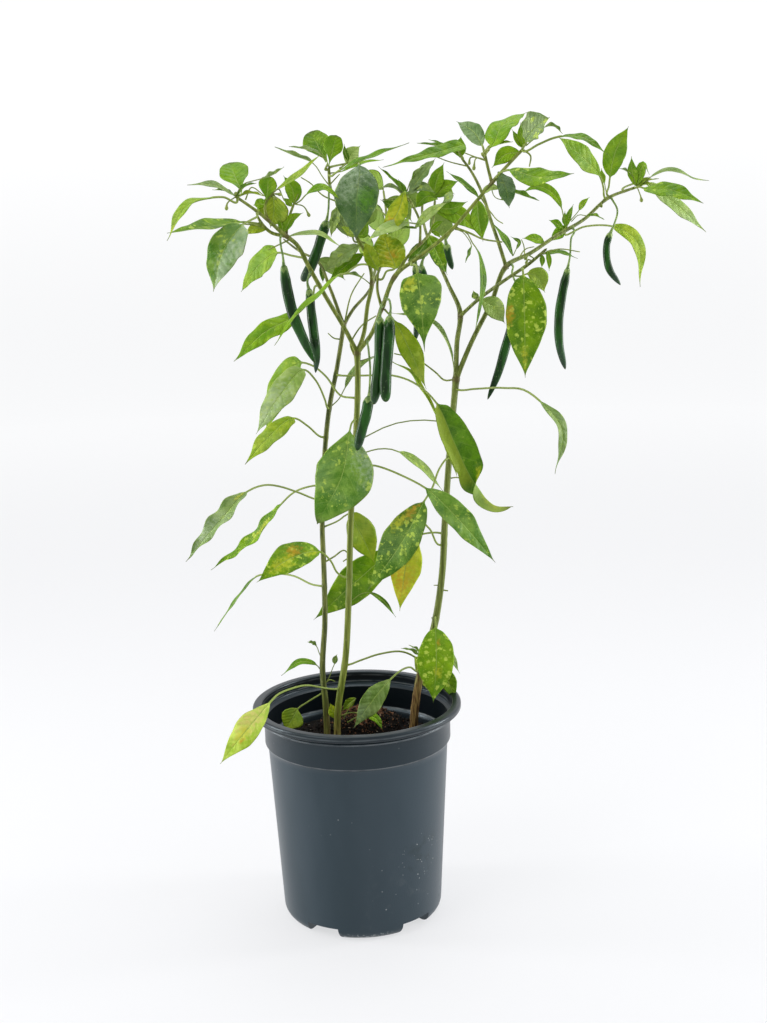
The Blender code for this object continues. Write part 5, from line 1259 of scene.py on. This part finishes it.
def leaf_skin(points, base, width, facing, form, stalk_width, grid, seed):
    """A leaf as one closed surface on a grid of rings along it and corners round it.

    On the stalk a ring is a circle, wider at the foot. On the blade it is half as wide as
    blade_half_width says and stands as blade_rise says; from half way along it turns over by
    the form's twist, and its underside carries a rib.
    The value blade is the share of the blade's length, the place across it and 1 on the
    underside; veins is the count of side veins, the way out in mm and the share from 0."""
    form = FORMS[form]
    rings, halves = grid
    line, share, length = stalk_and_body(points, base, max(4, rings // 4), rings)
    ups, sides = carried(line, facing)
    turned = 2 * np.pi * form.twist * smooth((share - 0.52) / 0.3)[:, None]
    ups, sides = (ups * np.cos(turned) + sides * np.sin(turned),
                  sides * np.cos(turned) - ups * np.sin(turned))
    top = np.linspace(-1, 1, 2 * halves + 1)
    v = np.concatenate([top, top[::-1][1:-1]])[None, :]
    under = (np.arange(v.shape[1]) > 2 * halves).astype(float)[None, :]
    u = np.clip(share, 0, 1)[:, None]
    phase = np.random.default_rng(seed).uniform(0, 2 * np.pi, 4)
    half = blade_half_width(u, v, width, form, phase)
    vein = (u * length - np.abs(v) * half * 0.85) / max(length / SIDE_VEINS, VEIN_GAP)
    rise = blade_rise(u, v, half, vein, width, form, phase)
    body = LEAF_BODY * (1 - v**2) + LEAF_EDGE
    rib = np.exp(-((half * v) / 0.7) ** 2) * stalk_width * 0.42 * (1 - 0.8 * u)
    rise = rise + np.where(under > 0, -body - rib, body * 0.4 - rib * 0.3)
    angle = np.where(under > 0, -1, 1) * (np.pi / 2) * (1 - v)
    thick = stalk_width / 2 * (1 + 0.35 * np.exp(-(share - share[0]) * length / 3.0))[:, None]
    blade = smooth(share / 0.07)[:, None]
    out = half * v / np.sqrt(1 + form.fold**2) * blade + np.cos(angle) * thick * (1 - blade)
    rise = rise * blade + np.sin(angle) * thick * (1 - blade)
    corners = ring_corners(line[:, None], ups[:, None], sides[:, None], out * MM, rise * MM)
    full = np.ones_like(out)
    return Skin.over(corners,
                     blade=np.stack([share[:, None] * full, v * full, under * full], -1),
                     veins=np.stack([vein * full, half * v * full, u * full], -1))


def make_leaves():
    for seed, row in enumerate(LEAVES):
        name, branch, height, stalk, blade, width, facing, form, tone, flecks = row
        points = stalk_points(branch, height, stalk, blade)
        base = seen(blade[0])[0]
        skin = leaf_skin(points, base, width, facing, form, LEAF_STALK, LEAF_GRID, seed)
        look = leaf_look(f"{name}_tissue", tone, flecks, PATCHES.get(name, ()))
        add_piece(f"{name}_blade", skin.mesh(name), [look], name)


def young_leaf_points(branch, stalk, blade, reach):
    """A young leaf's points in metres, and the first of its blade. They begin at the branch's
    depth and lean back by reach in all; a blade of two points is arched between them."""
    if len(blade) == 2:
        (x0, z0), (x1, z1) = blade
        middle = ((x0 + x1) / 2 + (z0 - z1) * YOUNG_ARCH[0],
                  (z0 + z1) / 2 + abs(x1 - x0) * YOUNG_ARCH[1])
        blade = [blade[0], middle, blade[1]]
    flat = np.array([*stalk, *blade], float)
    share = lengths(flat) / lengths(flat)[-1]
    depth = depth_near(branch, *flat[0]) + reach * share / CROWN_DEPTH
    points = seen(np.column_stack([flat, depth]))
    return points, points[len(stalk)]


def make_young_leaves():
    """The young leaves, joined into one piece for each tone."""
    groups = {}
    for seed, (branch, stalk, blade, width, reach, tone, facing) in enumerate(YOUNG_LEAVES):
        points, base = young_leaf_points(branch, stalk, blade, reach)
        way, form = FACINGS[facing]
        if facing == "up" and width < FOLDED_UNDER:
            form = "folded"
        stalk_width = min(1.6, 0.6 + width * 0.05)
        skin = leaf_skin(points, base, width, way, form, stalk_width, YOUNG_GRID, 100 + seed)
        groups.setdefault(tone, []).append(skin)
    for tone, skins in groups.items():
        name = f"young_leaves_{tone}"
        slot, flecks = YOUNG_LOOKS[tone]
        look = leaf_look(f"{name}_tissue", tone, flecks)
        add_piece(name, Skin.joined(skins).mesh(name), [look])


def tube_skin(line, radii, around, ridges=0.0, marks=0.0):
    """A round tube along a line, its radius given ring by ring and pinched into five ridges.
    Its value bark is the turn round it, the way along it in mm, and each ring's mark."""
    ups, sides = carried(line, (0.2, -1.0, 0.1))
    turn = np.arange(around) / around
    angle = turn[None, :] * 2 * np.pi
    radius = radii[:, None] * (1 + ridges * np.cos(5 * angle))
    corners = ring_corners(line[:, None], ups[:, None], sides[:, None],
                           np.cos(angle) * radius, np.sin(angle) * radius)
    full = np.ones_like(radius)
    along = lengths(line)[:, None] / MM
    marks = np.broadcast_to(marks, len(line))[:, None]
    return Skin.over(corners, bark=np.stack([turn * full, along * full, marks * full], -1))


def fork_points(branches):
    """Where the branches of a stem leave each other, in metres."""
    return seen([route[0] for route in branches.values()][1:])


def leaf_nodes(branches):
    """Where leaves and pods are carried on a stem, in metres."""
    rows = [row[1:3] for row in LEAVES + PODS if row[1] in branches]
    return np.array([grown_from(branch, height, np.array([0, -9.0, 0]))[0]
                     for branch, height in rows])


def bell(line, centres, width):
    """A bell curve over the distance from each row of a line to the nearest centre; its width
    is in mm."""
    away = np.linalg.norm(line[:, None] - centres, axis=2).min(axis=1)
    return np.exp(-(away / (width * MM)) ** 2)


def branch_skin(points, forks, nodes):
    """A branch: a ridged tube with a rounded end, swollen by bells at its forks and where
    leaves and pods stand on it."""
    board = curve(points, max(24, int(lengths(np.array(points, float)[:, :3])[-1] / 2.2)))
    line = seen(board)
    fork = bell(line, forks, FORK_BELL[0])
    knot = bell(line, nodes, KNOT_BELL[0])
    run = lengths(line)
    tip = np.clip((run[-1] - run) / (3 * MM), 0.02, 1) ** 0.5
    radii = board[:, 3] / 2 * MM * (1 + FORK_BELL[1] * fork + KNOT_BELL[1] * knot) * tip
    return tube_skin(line, radii, 20, 0.05, fork)


def make_stems():
    for name, branches in STEMS.items():
        forks, nodes = fork_points(branches), leaf_nodes(branches)
        skins = [branch_skin(route, forks, nodes) for route in branches.values()]
        look = bark_look(name.replace("stem", "bark"), *BARKS[name])
        add_piece(f"{name}_bark", Skin.joined(skins).mesh(name), [look], name)


def make_twigs():
    skins = []
    for branch, route, thickness in TWIGS:
        depth = depth_near(branch, *route[0])
        line = seen(curve([(x, z, depth) for x, z in route], 24))
        taper = np.linspace(1.15, 0.75, 24)
        skins.append(tube_skin(line, thickness / 2 * MM * taper, 10))
    add_piece("twigs", Skin.joined(skins).mesh("twigs"), [stalk_look()])


def make_buds():
    """Buds: a thin stalk that swells into an egg, whose radius runs as a half circle drawn out
    to 1.3 times its width."""
    skins = []
    for branch, route, radius in BUDS:
        depth = depth_near(branch, *route[0])
        line = seen(curve([(x, z, depth - 2.0 * k) for k, (x, z) in enumerate(route)], 40))
        left = (lengths(line)[-1] - lengths(line)) / MM
        long = radius * 1.3
        egg = radius * np.sqrt(np.clip(1 - ((left - long) / long) ** 2, 0.001, 1))
        neck = np.where(left > long, 0.55 + 0.5 * np.exp(-(left - long * 2).clip(0) / 2), 0)
        skins.append(tube_skin(line, np.maximum(egg, neck) * MM, 12))
    add_piece("flower_buds", Skin.joined(skins).mesh("flower_buds"), [stalk_look()])


def pod_radius(share, thickness, blunt, seed):
    """Half thickness of a pod in mm at a share of its length: it fills out over the first
    eighth, and from just past half way it closes to a small beak, or to a round end where it
    is blunt. Two slow waves swell it."""
    lumps = np.random.default_rng(seed).uniform(0, 2 * np.pi, 2)
    filled = 0.42 + 0.58 * np.clip(share / 0.13, 0, 1) ** 0.7
    closing = np.clip((share - 0.55) / 0.45, 0, 1) ** (2.3 + 9 * blunt)
    closing = np.clip(1 - closing, 0, 1) ** (0.62 - 0.2 * blunt)
    swell = 1 + 0.035 * np.sin(9 * share + lumps[0]) + 0.02 * np.sin(23 * share + lumps[1])
    return thickness / 2 * filled * np.maximum(closing, 0.07) * swell


def pod_skin(line, ups, sides, turn, radius, share):
    """Round rings along a line, their radius in mm. The value pod is the share of the pod's
    length and the turn round it."""
    angle = turn * 2 * np.pi
    corners = ring_corners(line, ups, sides, np.cos(angle) * radius * MM,
                           np.sin(angle) * radius * MM)
    full = np.ones_like(radius * angle)
    return Skin.over(corners, pod=np.stack([share * full, turn * full, 0 * full], -1))


def calyx_skin(line, ups, sides, share, turn, length, outline):
    """A cap drawn down over a pod's shoulder in five lobes: their reach is a cosine of five
    times the turn, and they stand a little outside the pod's outline."""
    lobe = (CALYX_REACH + CALYX_LOBES * np.cos(5 * (turn * 2 * np.pi))) / length
    down = np.linspace(0, 1, 12)[:, None] * lobe
    cover = pod_radius(down, *outline) * 1.03 + 0.28 - 0.22 * (down / lobe) ** 6
    cover = cover * np.clip(0.55 + down / lobe * 2.2, 0, 1)
    spots = [np.stack([np.interp(down, share, column) for column in rows.T], -1)
             for rows in (line, ups, sides)]
    return pod_skin(*spots, turn, cover, down)


def make_pod(seed, name, branch, height, stalk, pod, thickness, blunt, looks):
    """A pod with its calyx and its stalk, which is thicker at both of its ends."""
    points = stalk_points(branch, height, stalk, pod)
    line, share, length = stalk_and_body(points, seen(pod[0])[0], POD_STALK_RINGS, POD_RINGS)
    ups, sides = carried(line, (0.1, -1.0, 0.1))
    outline = thickness, blunt, seed
    turn = np.arange(POD_AROUND)[None, :] / POD_AROUND
    angle = turn * 2 * np.pi
    stem_radius = 0.95 + 0.75 * np.clip(1 + share * length / 9.0, 0, 1) ** 2
    stem_radius = stem_radius + 0.35 * np.exp(-(share - share[0]) * length / 2.5)
    stem_radius = stem_radius[:, None] * (1 + 0.05 * np.cos(5 * angle))
    body_radius = pod_radius(np.clip(share, 0, 1), *outline)[:, None]
    body_radius = body_radius * (1 + 0.03 * np.cos(2 * angle + seed))
    body, stem = (pod_skin(line[rows, None], ups[rows, None], sides[rows, None], turn,
                           radius[rows], share[rows, None])
                  for rows, radius in ((share >= 0, body_radius), (share < 0.02, stem_radius)))
    cap = calyx_skin(line, ups, sides, share, turn, length, outline)
    mesh = Skin.joined([body, stem, cap]).mesh(name)
    index = np.ones(len(mesh.polygons), np.int32)
    index[:len(body.sizes)] = 0
    mesh.polygons.foreach_set("material_index", index)
    add_piece(f"{name}_pod", mesh, looks, name)


# ---------------------------------------------------------------- pot and soil

def arc(radius, height, size, first, last, steps=8):
    """Profile points round a centre, from one angle to another in degrees; 0 is outward."""
    turn = np.radians(np.linspace(first, last, steps + 1))
    return list(zip(radius + size * np.cos(turn), height + size * np.sin(turn)))


def turned_rings(profile, around):
    """Rings of corners in metres, turned from a profile of (radius, height) in mm."""
    radius, height = np.array(profile, float).T
    angle = np.arange(around) / around * 2 * np.pi
    full = np.ones((len(radius), around))
    return np.stack([radius[:, None] * np.cos(angle), radius[:, None] * np.sin(angle),
                     height[:, None] * full], -1) * MM


def evenly(points, step):
    """The profile with extra points wherever two lie more than step mm apart."""
    rows = [points[0]]
    for (r0, h0), (r1, h1) in zip(points, points[1:]):
        parts = max(1, int(math.hypot(r1 - r0, h1 - h0) / step))
        rows += [(r0 + (r1 - r0) * k / parts, h0 + (h1 - h0) * k / parts)
                 for k in range(1, parts + 1)]
    return rows


def pot_profile():
    """From the axis on the inside floor, up the inside, over the rolled rim, down the collar,
    its step and the body, round the foot and back to the axis."""
    bead_foot = RIM_TOP - 2 * RIM_BEAD
    rim = RIM_RADIUS - RIM_ROUND
    floor = POCKET_HEIGHT + WALL + 2
    inside = BODY_FOOT_RADIUS - WALL
    bore = COLLAR_RADIUS - WALL
    return [
        (HUB, floor), (inside - 6, floor), (inside, floor + 6),
        (BODY_TOP_RADIUS - WALL, COLLAR_FOOT - 4),
        *arc(bore - BORE_ROUND, COLLAR_FOOT + 1, BORE_ROUND, -60, 0, 4), (bore, bead_foot - 8),
        *arc(LIP_RADIUS - BORE_ROUND, bead_foot - 4.5, BORE_ROUND, -60, 0, 4),
        (LIP_RADIUS, RIM_TOP - 3),
        *arc(LIP_RADIUS + LIP_ROUND, RIM_TOP - LIP_ROUND, LIP_ROUND, 180, 90),
        *arc(rim, RIM_TOP - RIM_ROUND, RIM_ROUND, 90, 0),
        *arc(rim, bead_foot + RIM_ROUND, RIM_ROUND, 0, -90),
        (COLLAR_RADIUS + NECK_OUT + 0.2, bead_foot),
        *arc(COLLAR_RADIUS + NECK_OUT, bead_foot - NECK_DROP, NECK_ROUND, 60, -60, 6),
        (COLLAR_RADIUS + 0.6, bead_foot - 6), (COLLAR_RADIUS, bead_foot - 8),
        *arc(COLLAR_RADIUS - 1, COLLAR_FOOT + 1, 1.0, 0, -75, 5),
        (BODY_TOP_RADIUS, COLLAR_FOOT - 4), (BODY_TOP_RADIUS - 0.2, COLLAR_FOOT - 7),
        *arc(BODY_FOOT_RADIUS - FOOT_ROUND, FOOT_ROUND, FOOT_ROUND, 0, -90), (HUB, 0)]


def cutter(name, corners, faces, azimuth):
    """A closed body that cuts the pot, turned about Z and not shown."""
    mesh = bpy.data.meshes.new(name)
    mesh.from_pydata((np.asarray(corners, float) * MM).tolist(), [], faces)
    mesh.transform(Matrix.Rotation(math.radians(azimuth), 4, "Z"))
    return add_object(name, mesh)


def pocket_cutter(azimuth):
    """A drainage pocket: a block from POCKET_INNER out through the wall, narrower at its top."""
    inner, outer = POCKET_INNER, BODY_FOOT_RADIUS + 10
    low, high = POCKET_WIDTH / 2, POCKET_WIDTH / 2 - 2
    corners = [(x, y * half, z) for z, half in ((-5, low), (POCKET_HEIGHT, high))
               for x, y in ((inner, -1), (outer, -1), (outer, 1), (inner, 1))]
    faces = [(0, 3, 2, 1), (4, 5, 6, 7), (0, 1, 5, 4), (1, 2, 6, 5), (2, 3, 7, 6), (3, 0, 4, 7)]
    return cutter("pocket", corners, faces, azimuth)


def drain_cutter(azimuth):
    """A drain hole drilled up from the roof of a pocket."""
    around = 24
    turn = np.arange(around) / around * 2 * np.pi
    ring = np.stack([DRAIN_REACH + DRAIN_RADIUS * np.cos(turn), DRAIN_RADIUS * np.sin(turn)], 1)
    corners = [(x, y, z) for z in (POCKET_HEIGHT - 2, POCKET_HEIGHT + 3) for x, y in ring]
    sides = [(k, (k + 1) % around, (k + 1) % around + around, k + around)
             for k in range(around)]
    faces = sides + [tuple(range(around - 1, -1, -1)), tuple(range(around, 2 * around))]
    return cutter("drain", corners, faces, azimuth)


def make_pot():
    """The shell, turned from its profile, with its pockets and drain holes cut out."""
    rings = turned_rings(evenly(pot_profile(), POT_STEP), POT_AROUND)
    shell = add_object("pot_shell", Skin.over(rings).mesh("pot_shell"))
    azimuths = [POCKET_FIRST + 360 / POCKETS * k for k in range(POCKETS)]
    cutters = [pocket_cutter(a) for a in azimuths] + [drain_cutter(a) for a in azimuths]
    for body in cutters:
        step = shell.modifiers.new(body.name, "BOOLEAN")
        step.operation = "DIFFERENCE"
        step.object = body
    graph = bpy.context.evaluated_depsgraph_get()
    cut = bpy.data.meshes.new_from_object(shell.evaluated_get(graph))
    for body in [shell, *cutters]:
        bpy.data.objects.remove(body)
    cut.materials.clear()
    cut.shade_smooth()
    cut.set_sharp_from_angle(angle=math.radians(35))
    add_piece("pot_slate_shell", cut, [pot_look()], "pot")


def mound_height(x, y):
    """How far the coir mound stands above the soil: a half ellipsoid over an ellipse, mm."""
    inside = 1 - ((x - MOUND[0]) / MOUND_SIZE[0]) ** 2 - ((y - MOUND[1]) / MOUND_SIZE[1]) ** 2
    return MOUND_RISE * np.sqrt(np.clip(inside, 0, 1))


def soil_height(x, y, waves):
    """Height of the soil at (x, y) in mm: level, with the mound and a sum of small waves of
    random direction and phase."""
    rough = sum(size * np.sin(x * kx + y * ky + phase) for size, kx, ky, phase in waves)
    radius = np.hypot(x, y)
    fade = np.clip((WAVES_END - radius) / WAVES_FADE, 0, 1)
    return SOIL_TOP + mound_height(x, y) + rough * fade


def make_soil():
    """The bed: a disc of rings whose height is soil_height, closed by a flat underside."""
    dice = np.random.default_rng(7)
    waves = [(size, *dice.normal(0, 1.0 / size, 2) * 0.5, dice.uniform(0, 6.28))
             for size in (1.6, 1.3, 1.0, 0.8, 0.6, 0.5, 0.4, 0.3)]
    radius = np.concatenate([np.linspace(HUB, SOIL_EDGE, SOIL_RINGS), [SOIL_EDGE, 60, HUB]])
    angle = np.arange(SOIL_AROUND) / SOIL_AROUND * 2 * np.pi
    x, y = radius[:, None] * np.cos(angle), radius[:, None] * np.sin(angle)
    z = soil_height(x, y, waves)
    z[-3:] = SOIL_FOOT
    bed = Skin.over(np.stack([x, y, z], -1) * MM)
    add_piece("soil_bed", bed.mesh("soil_bed"), [soil_look("potting_mix", *MIX_COLOURS)],
              "soil")
    for name, (count, dark, light, fibre, size) in CRUMBS.items():
        skin = scattered(count, size, waves, name == "coir_chips", dice)
        look = soil_look(f"{name}_look", dark, light, fibre)
        add_piece(name, skin.mesh(name), [look])


def scattered(count, size, waves, on_mound, dice):
    """Crumbs strewn on the soil: each is an eight-sided lump, stretched and turned at random,
    with its middle on the surface. Coir chips lie mostly on and round the mound."""
    spread_out = np.sqrt(dice.uniform(0, 1, count)) * STREWN_TO
    angle = dice.uniform(0, 2 * np.pi, count)
    x, y = spread_out * np.cos(angle), spread_out * np.sin(angle)
    if on_mound:
        near = dice.uniform(0, 1, count) < ON_MOUND
        x = np.where(near, MOUND[0] + dice.normal(CHIPS_AT[0], CHIPS_SPREAD[0], count), x)
        y = np.where(near, MOUND[1] + dice.normal(CHIPS_AT[1], CHIPS_SPREAD[1], count), y)
    shrink = np.minimum(1, (STREWN_TO - 1) / np.maximum(np.hypot(x, y), 1e-6))
    x, y = x * shrink, y * shrink
    lump = np.array([(1, 0, 0), (-1, 0, 0), (0, 1, 0), (0, -1, 0), (0, 0, 1), (0, 0, -1)], float)
    faces = np.array([(0, 2, 4), (2, 1, 4), (1, 3, 4), (3, 0, 4),
                      (2, 0, 5), (1, 2, 5), (3, 1, 5), (0, 3, 5)])
    stretch = dice.uniform(0.5, 1.5, (count, 1, 3)) * np.array([1.5, 0.9, 0.55]) * size
    turns = np.linalg.qr(dice.normal(0, 1, (count, 3, 3)))[0]
    turns = turns * np.where(np.linalg.det(turns) < 0, -1, 1)[:, None, None]
    corners = (lump[None] * stretch * dice.uniform(0.75, 1.25, (count, 6, 1))) @ turns
    middle = np.stack([x, y, soil_height(x, y, waves) + 0.3 * size], -1)
    corners = corners + middle[:, None]
    loops = faces[None] + np.arange(count)[:, None, None] * len(lump)
    return Skin(corners.reshape(-1, 3) * MM, loops.ravel(), np.full(count * len(faces), 3), {})


# ---------------------------------------------------------------- stage

def make_floor():
    """A pale floor that turns up all round into a backdrop, and gives off some light."""
    profile = [(HUB, 0), *evenly([(FLOOR_DISC, 0), (FLOOR_REACH, 0)], FLOOR_STEP),
               *arc(FLOOR_REACH, FLOOR_BEND, FLOOR_BEND, -90, -20, 12)]
    rings = turned_rings(profile, FLOOR_AROUND)
    index = np.arange(rings.size // 3).reshape(rings.shape[:2])
    quads = ring_quads(index)[:, [0, 3, 2, 1]]
    loops = np.concatenate([quads.ravel(), index[0]])
    sizes = np.array([4] * len(quads) + [FLOOR_AROUND])
    mesh = Skin(rings.reshape(-1, 3), loops, sizes, {}).mesh("floor")
    floor = add_object("floor", mesh)
    paper = Look("floor_white", {"Base Color": FLOOR_COLOUR, "Roughness": 0.9,
                                 "Specular IOR Level": 0.1, "Emission Strength": 1.0})
    x, y, height = paper.split(paper.place())
    glow = paper.mix((x * x + y * y).math("SQRT").rise(0.8, 4.0), FLOOR_GLOW, FAR_GLOW)
    glow = paper.mix(height.rise(0.1, 1.6), glow, HIGH_GLOW)
    paper.tree.links.new(glow.socket, paper.shader.inputs["Emission Color"])
    mesh.materials.append(paper.material)


def make_surround():
    """A plain surround that is lighter behind the plant than before it."""
    world = bpy.data.worlds.new("studio")
    world.use_nodes = True
    nodes, links = world.node_tree.nodes, world.node_tree.links
    sky = nodes["Background"]
    sky.inputs["Color"].default_value = SKY_COLOUR
    way = nodes.new("ShaderNodeSeparateXYZ")
    links.new(nodes.new("ShaderNodeTexCoord").outputs["Generated"], way.inputs[0])
    fade = nodes.new("ShaderNodeMapRange")
    fade.inputs["From Min"].default_value = -1.0
    fade.inputs["To Min"].default_value = SKY_FRONT
    fade.inputs["To Max"].default_value = SKY_REAR
    links.new(way.outputs["Y"], fade.inputs["Value"])
    links.new(fade.outputs["Result"], sky.inputs["Strength"])
    bpy.context.scene.world = world


def make_lamps():
    """A soft key from the upper left, a fill, a light from above and a strip on each side."""
    for name, place, (width, height), power, colour in LAMPS:
        lamp = bpy.data.lights.new(name, "AREA")
        lamp.shape = "RECTANGLE"
        lamp.size = width
        lamp.size_y = height
        lamp.energy = power
        lamp.color = colour
        add_object(name, lamp).matrix_world = aimed(place, LAMP_TARGET)


def standing(right, up, back, place):
    """A matrix with these three axes, at a place in metres."""
    columns = np.column_stack([right, up, back, place])
    return Matrix([*columns.tolist(), (0, 0, 0, 1)])


def aimed(place, target):
    """A matrix at place whose -Z points at target."""
    back = unit(np.array(place, float) - np.array(target, float))
    right = unit(np.cross((0, 0, 1), back))
    return standing(right, np.cross(back, right), back, place)


def make_camera():
    """A normal lens at EYE, turned, tipped down and rolled a little."""
    yaw, pitch, roll = (math.radians(angle) for angle in EYE_TURNS)
    forward = np.array([math.sin(yaw) * math.cos(pitch), math.cos(yaw) * math.cos(pitch),
                        -math.sin(pitch)])
    level = np.array([math.cos(yaw), -math.sin(yaw), 0.0])
    upright = np.cross(level, forward)
    right = math.cos(roll) * level + math.sin(roll) * upright
    up = -math.sin(roll) * level + math.cos(roll) * upright
    lens = bpy.data.cameras.new("camera")
    lens.lens = LENS
    lens.sensor_width = FILM_WIDTH
    camera = add_object("camera", lens)
    camera.matrix_world = standing(right, up, -forward, EYE * MM)
    bpy.context.scene.camera = camera


def main():
    make_camera()
    make_floor()
    make_surround()
    make_lamps()
    bpy.context.scene.view_settings.view_transform = "Standard"
    make_pot()
    make_soil()
    make_stems()
    make_twigs()
    make_buds()
    pod_looks = [pod_look(), cap_look()]
    for seed, row in enumerate(PODS):
        make_pod(seed, *row, pod_looks)
    make_leaves()
    make_young_leaves()


main()
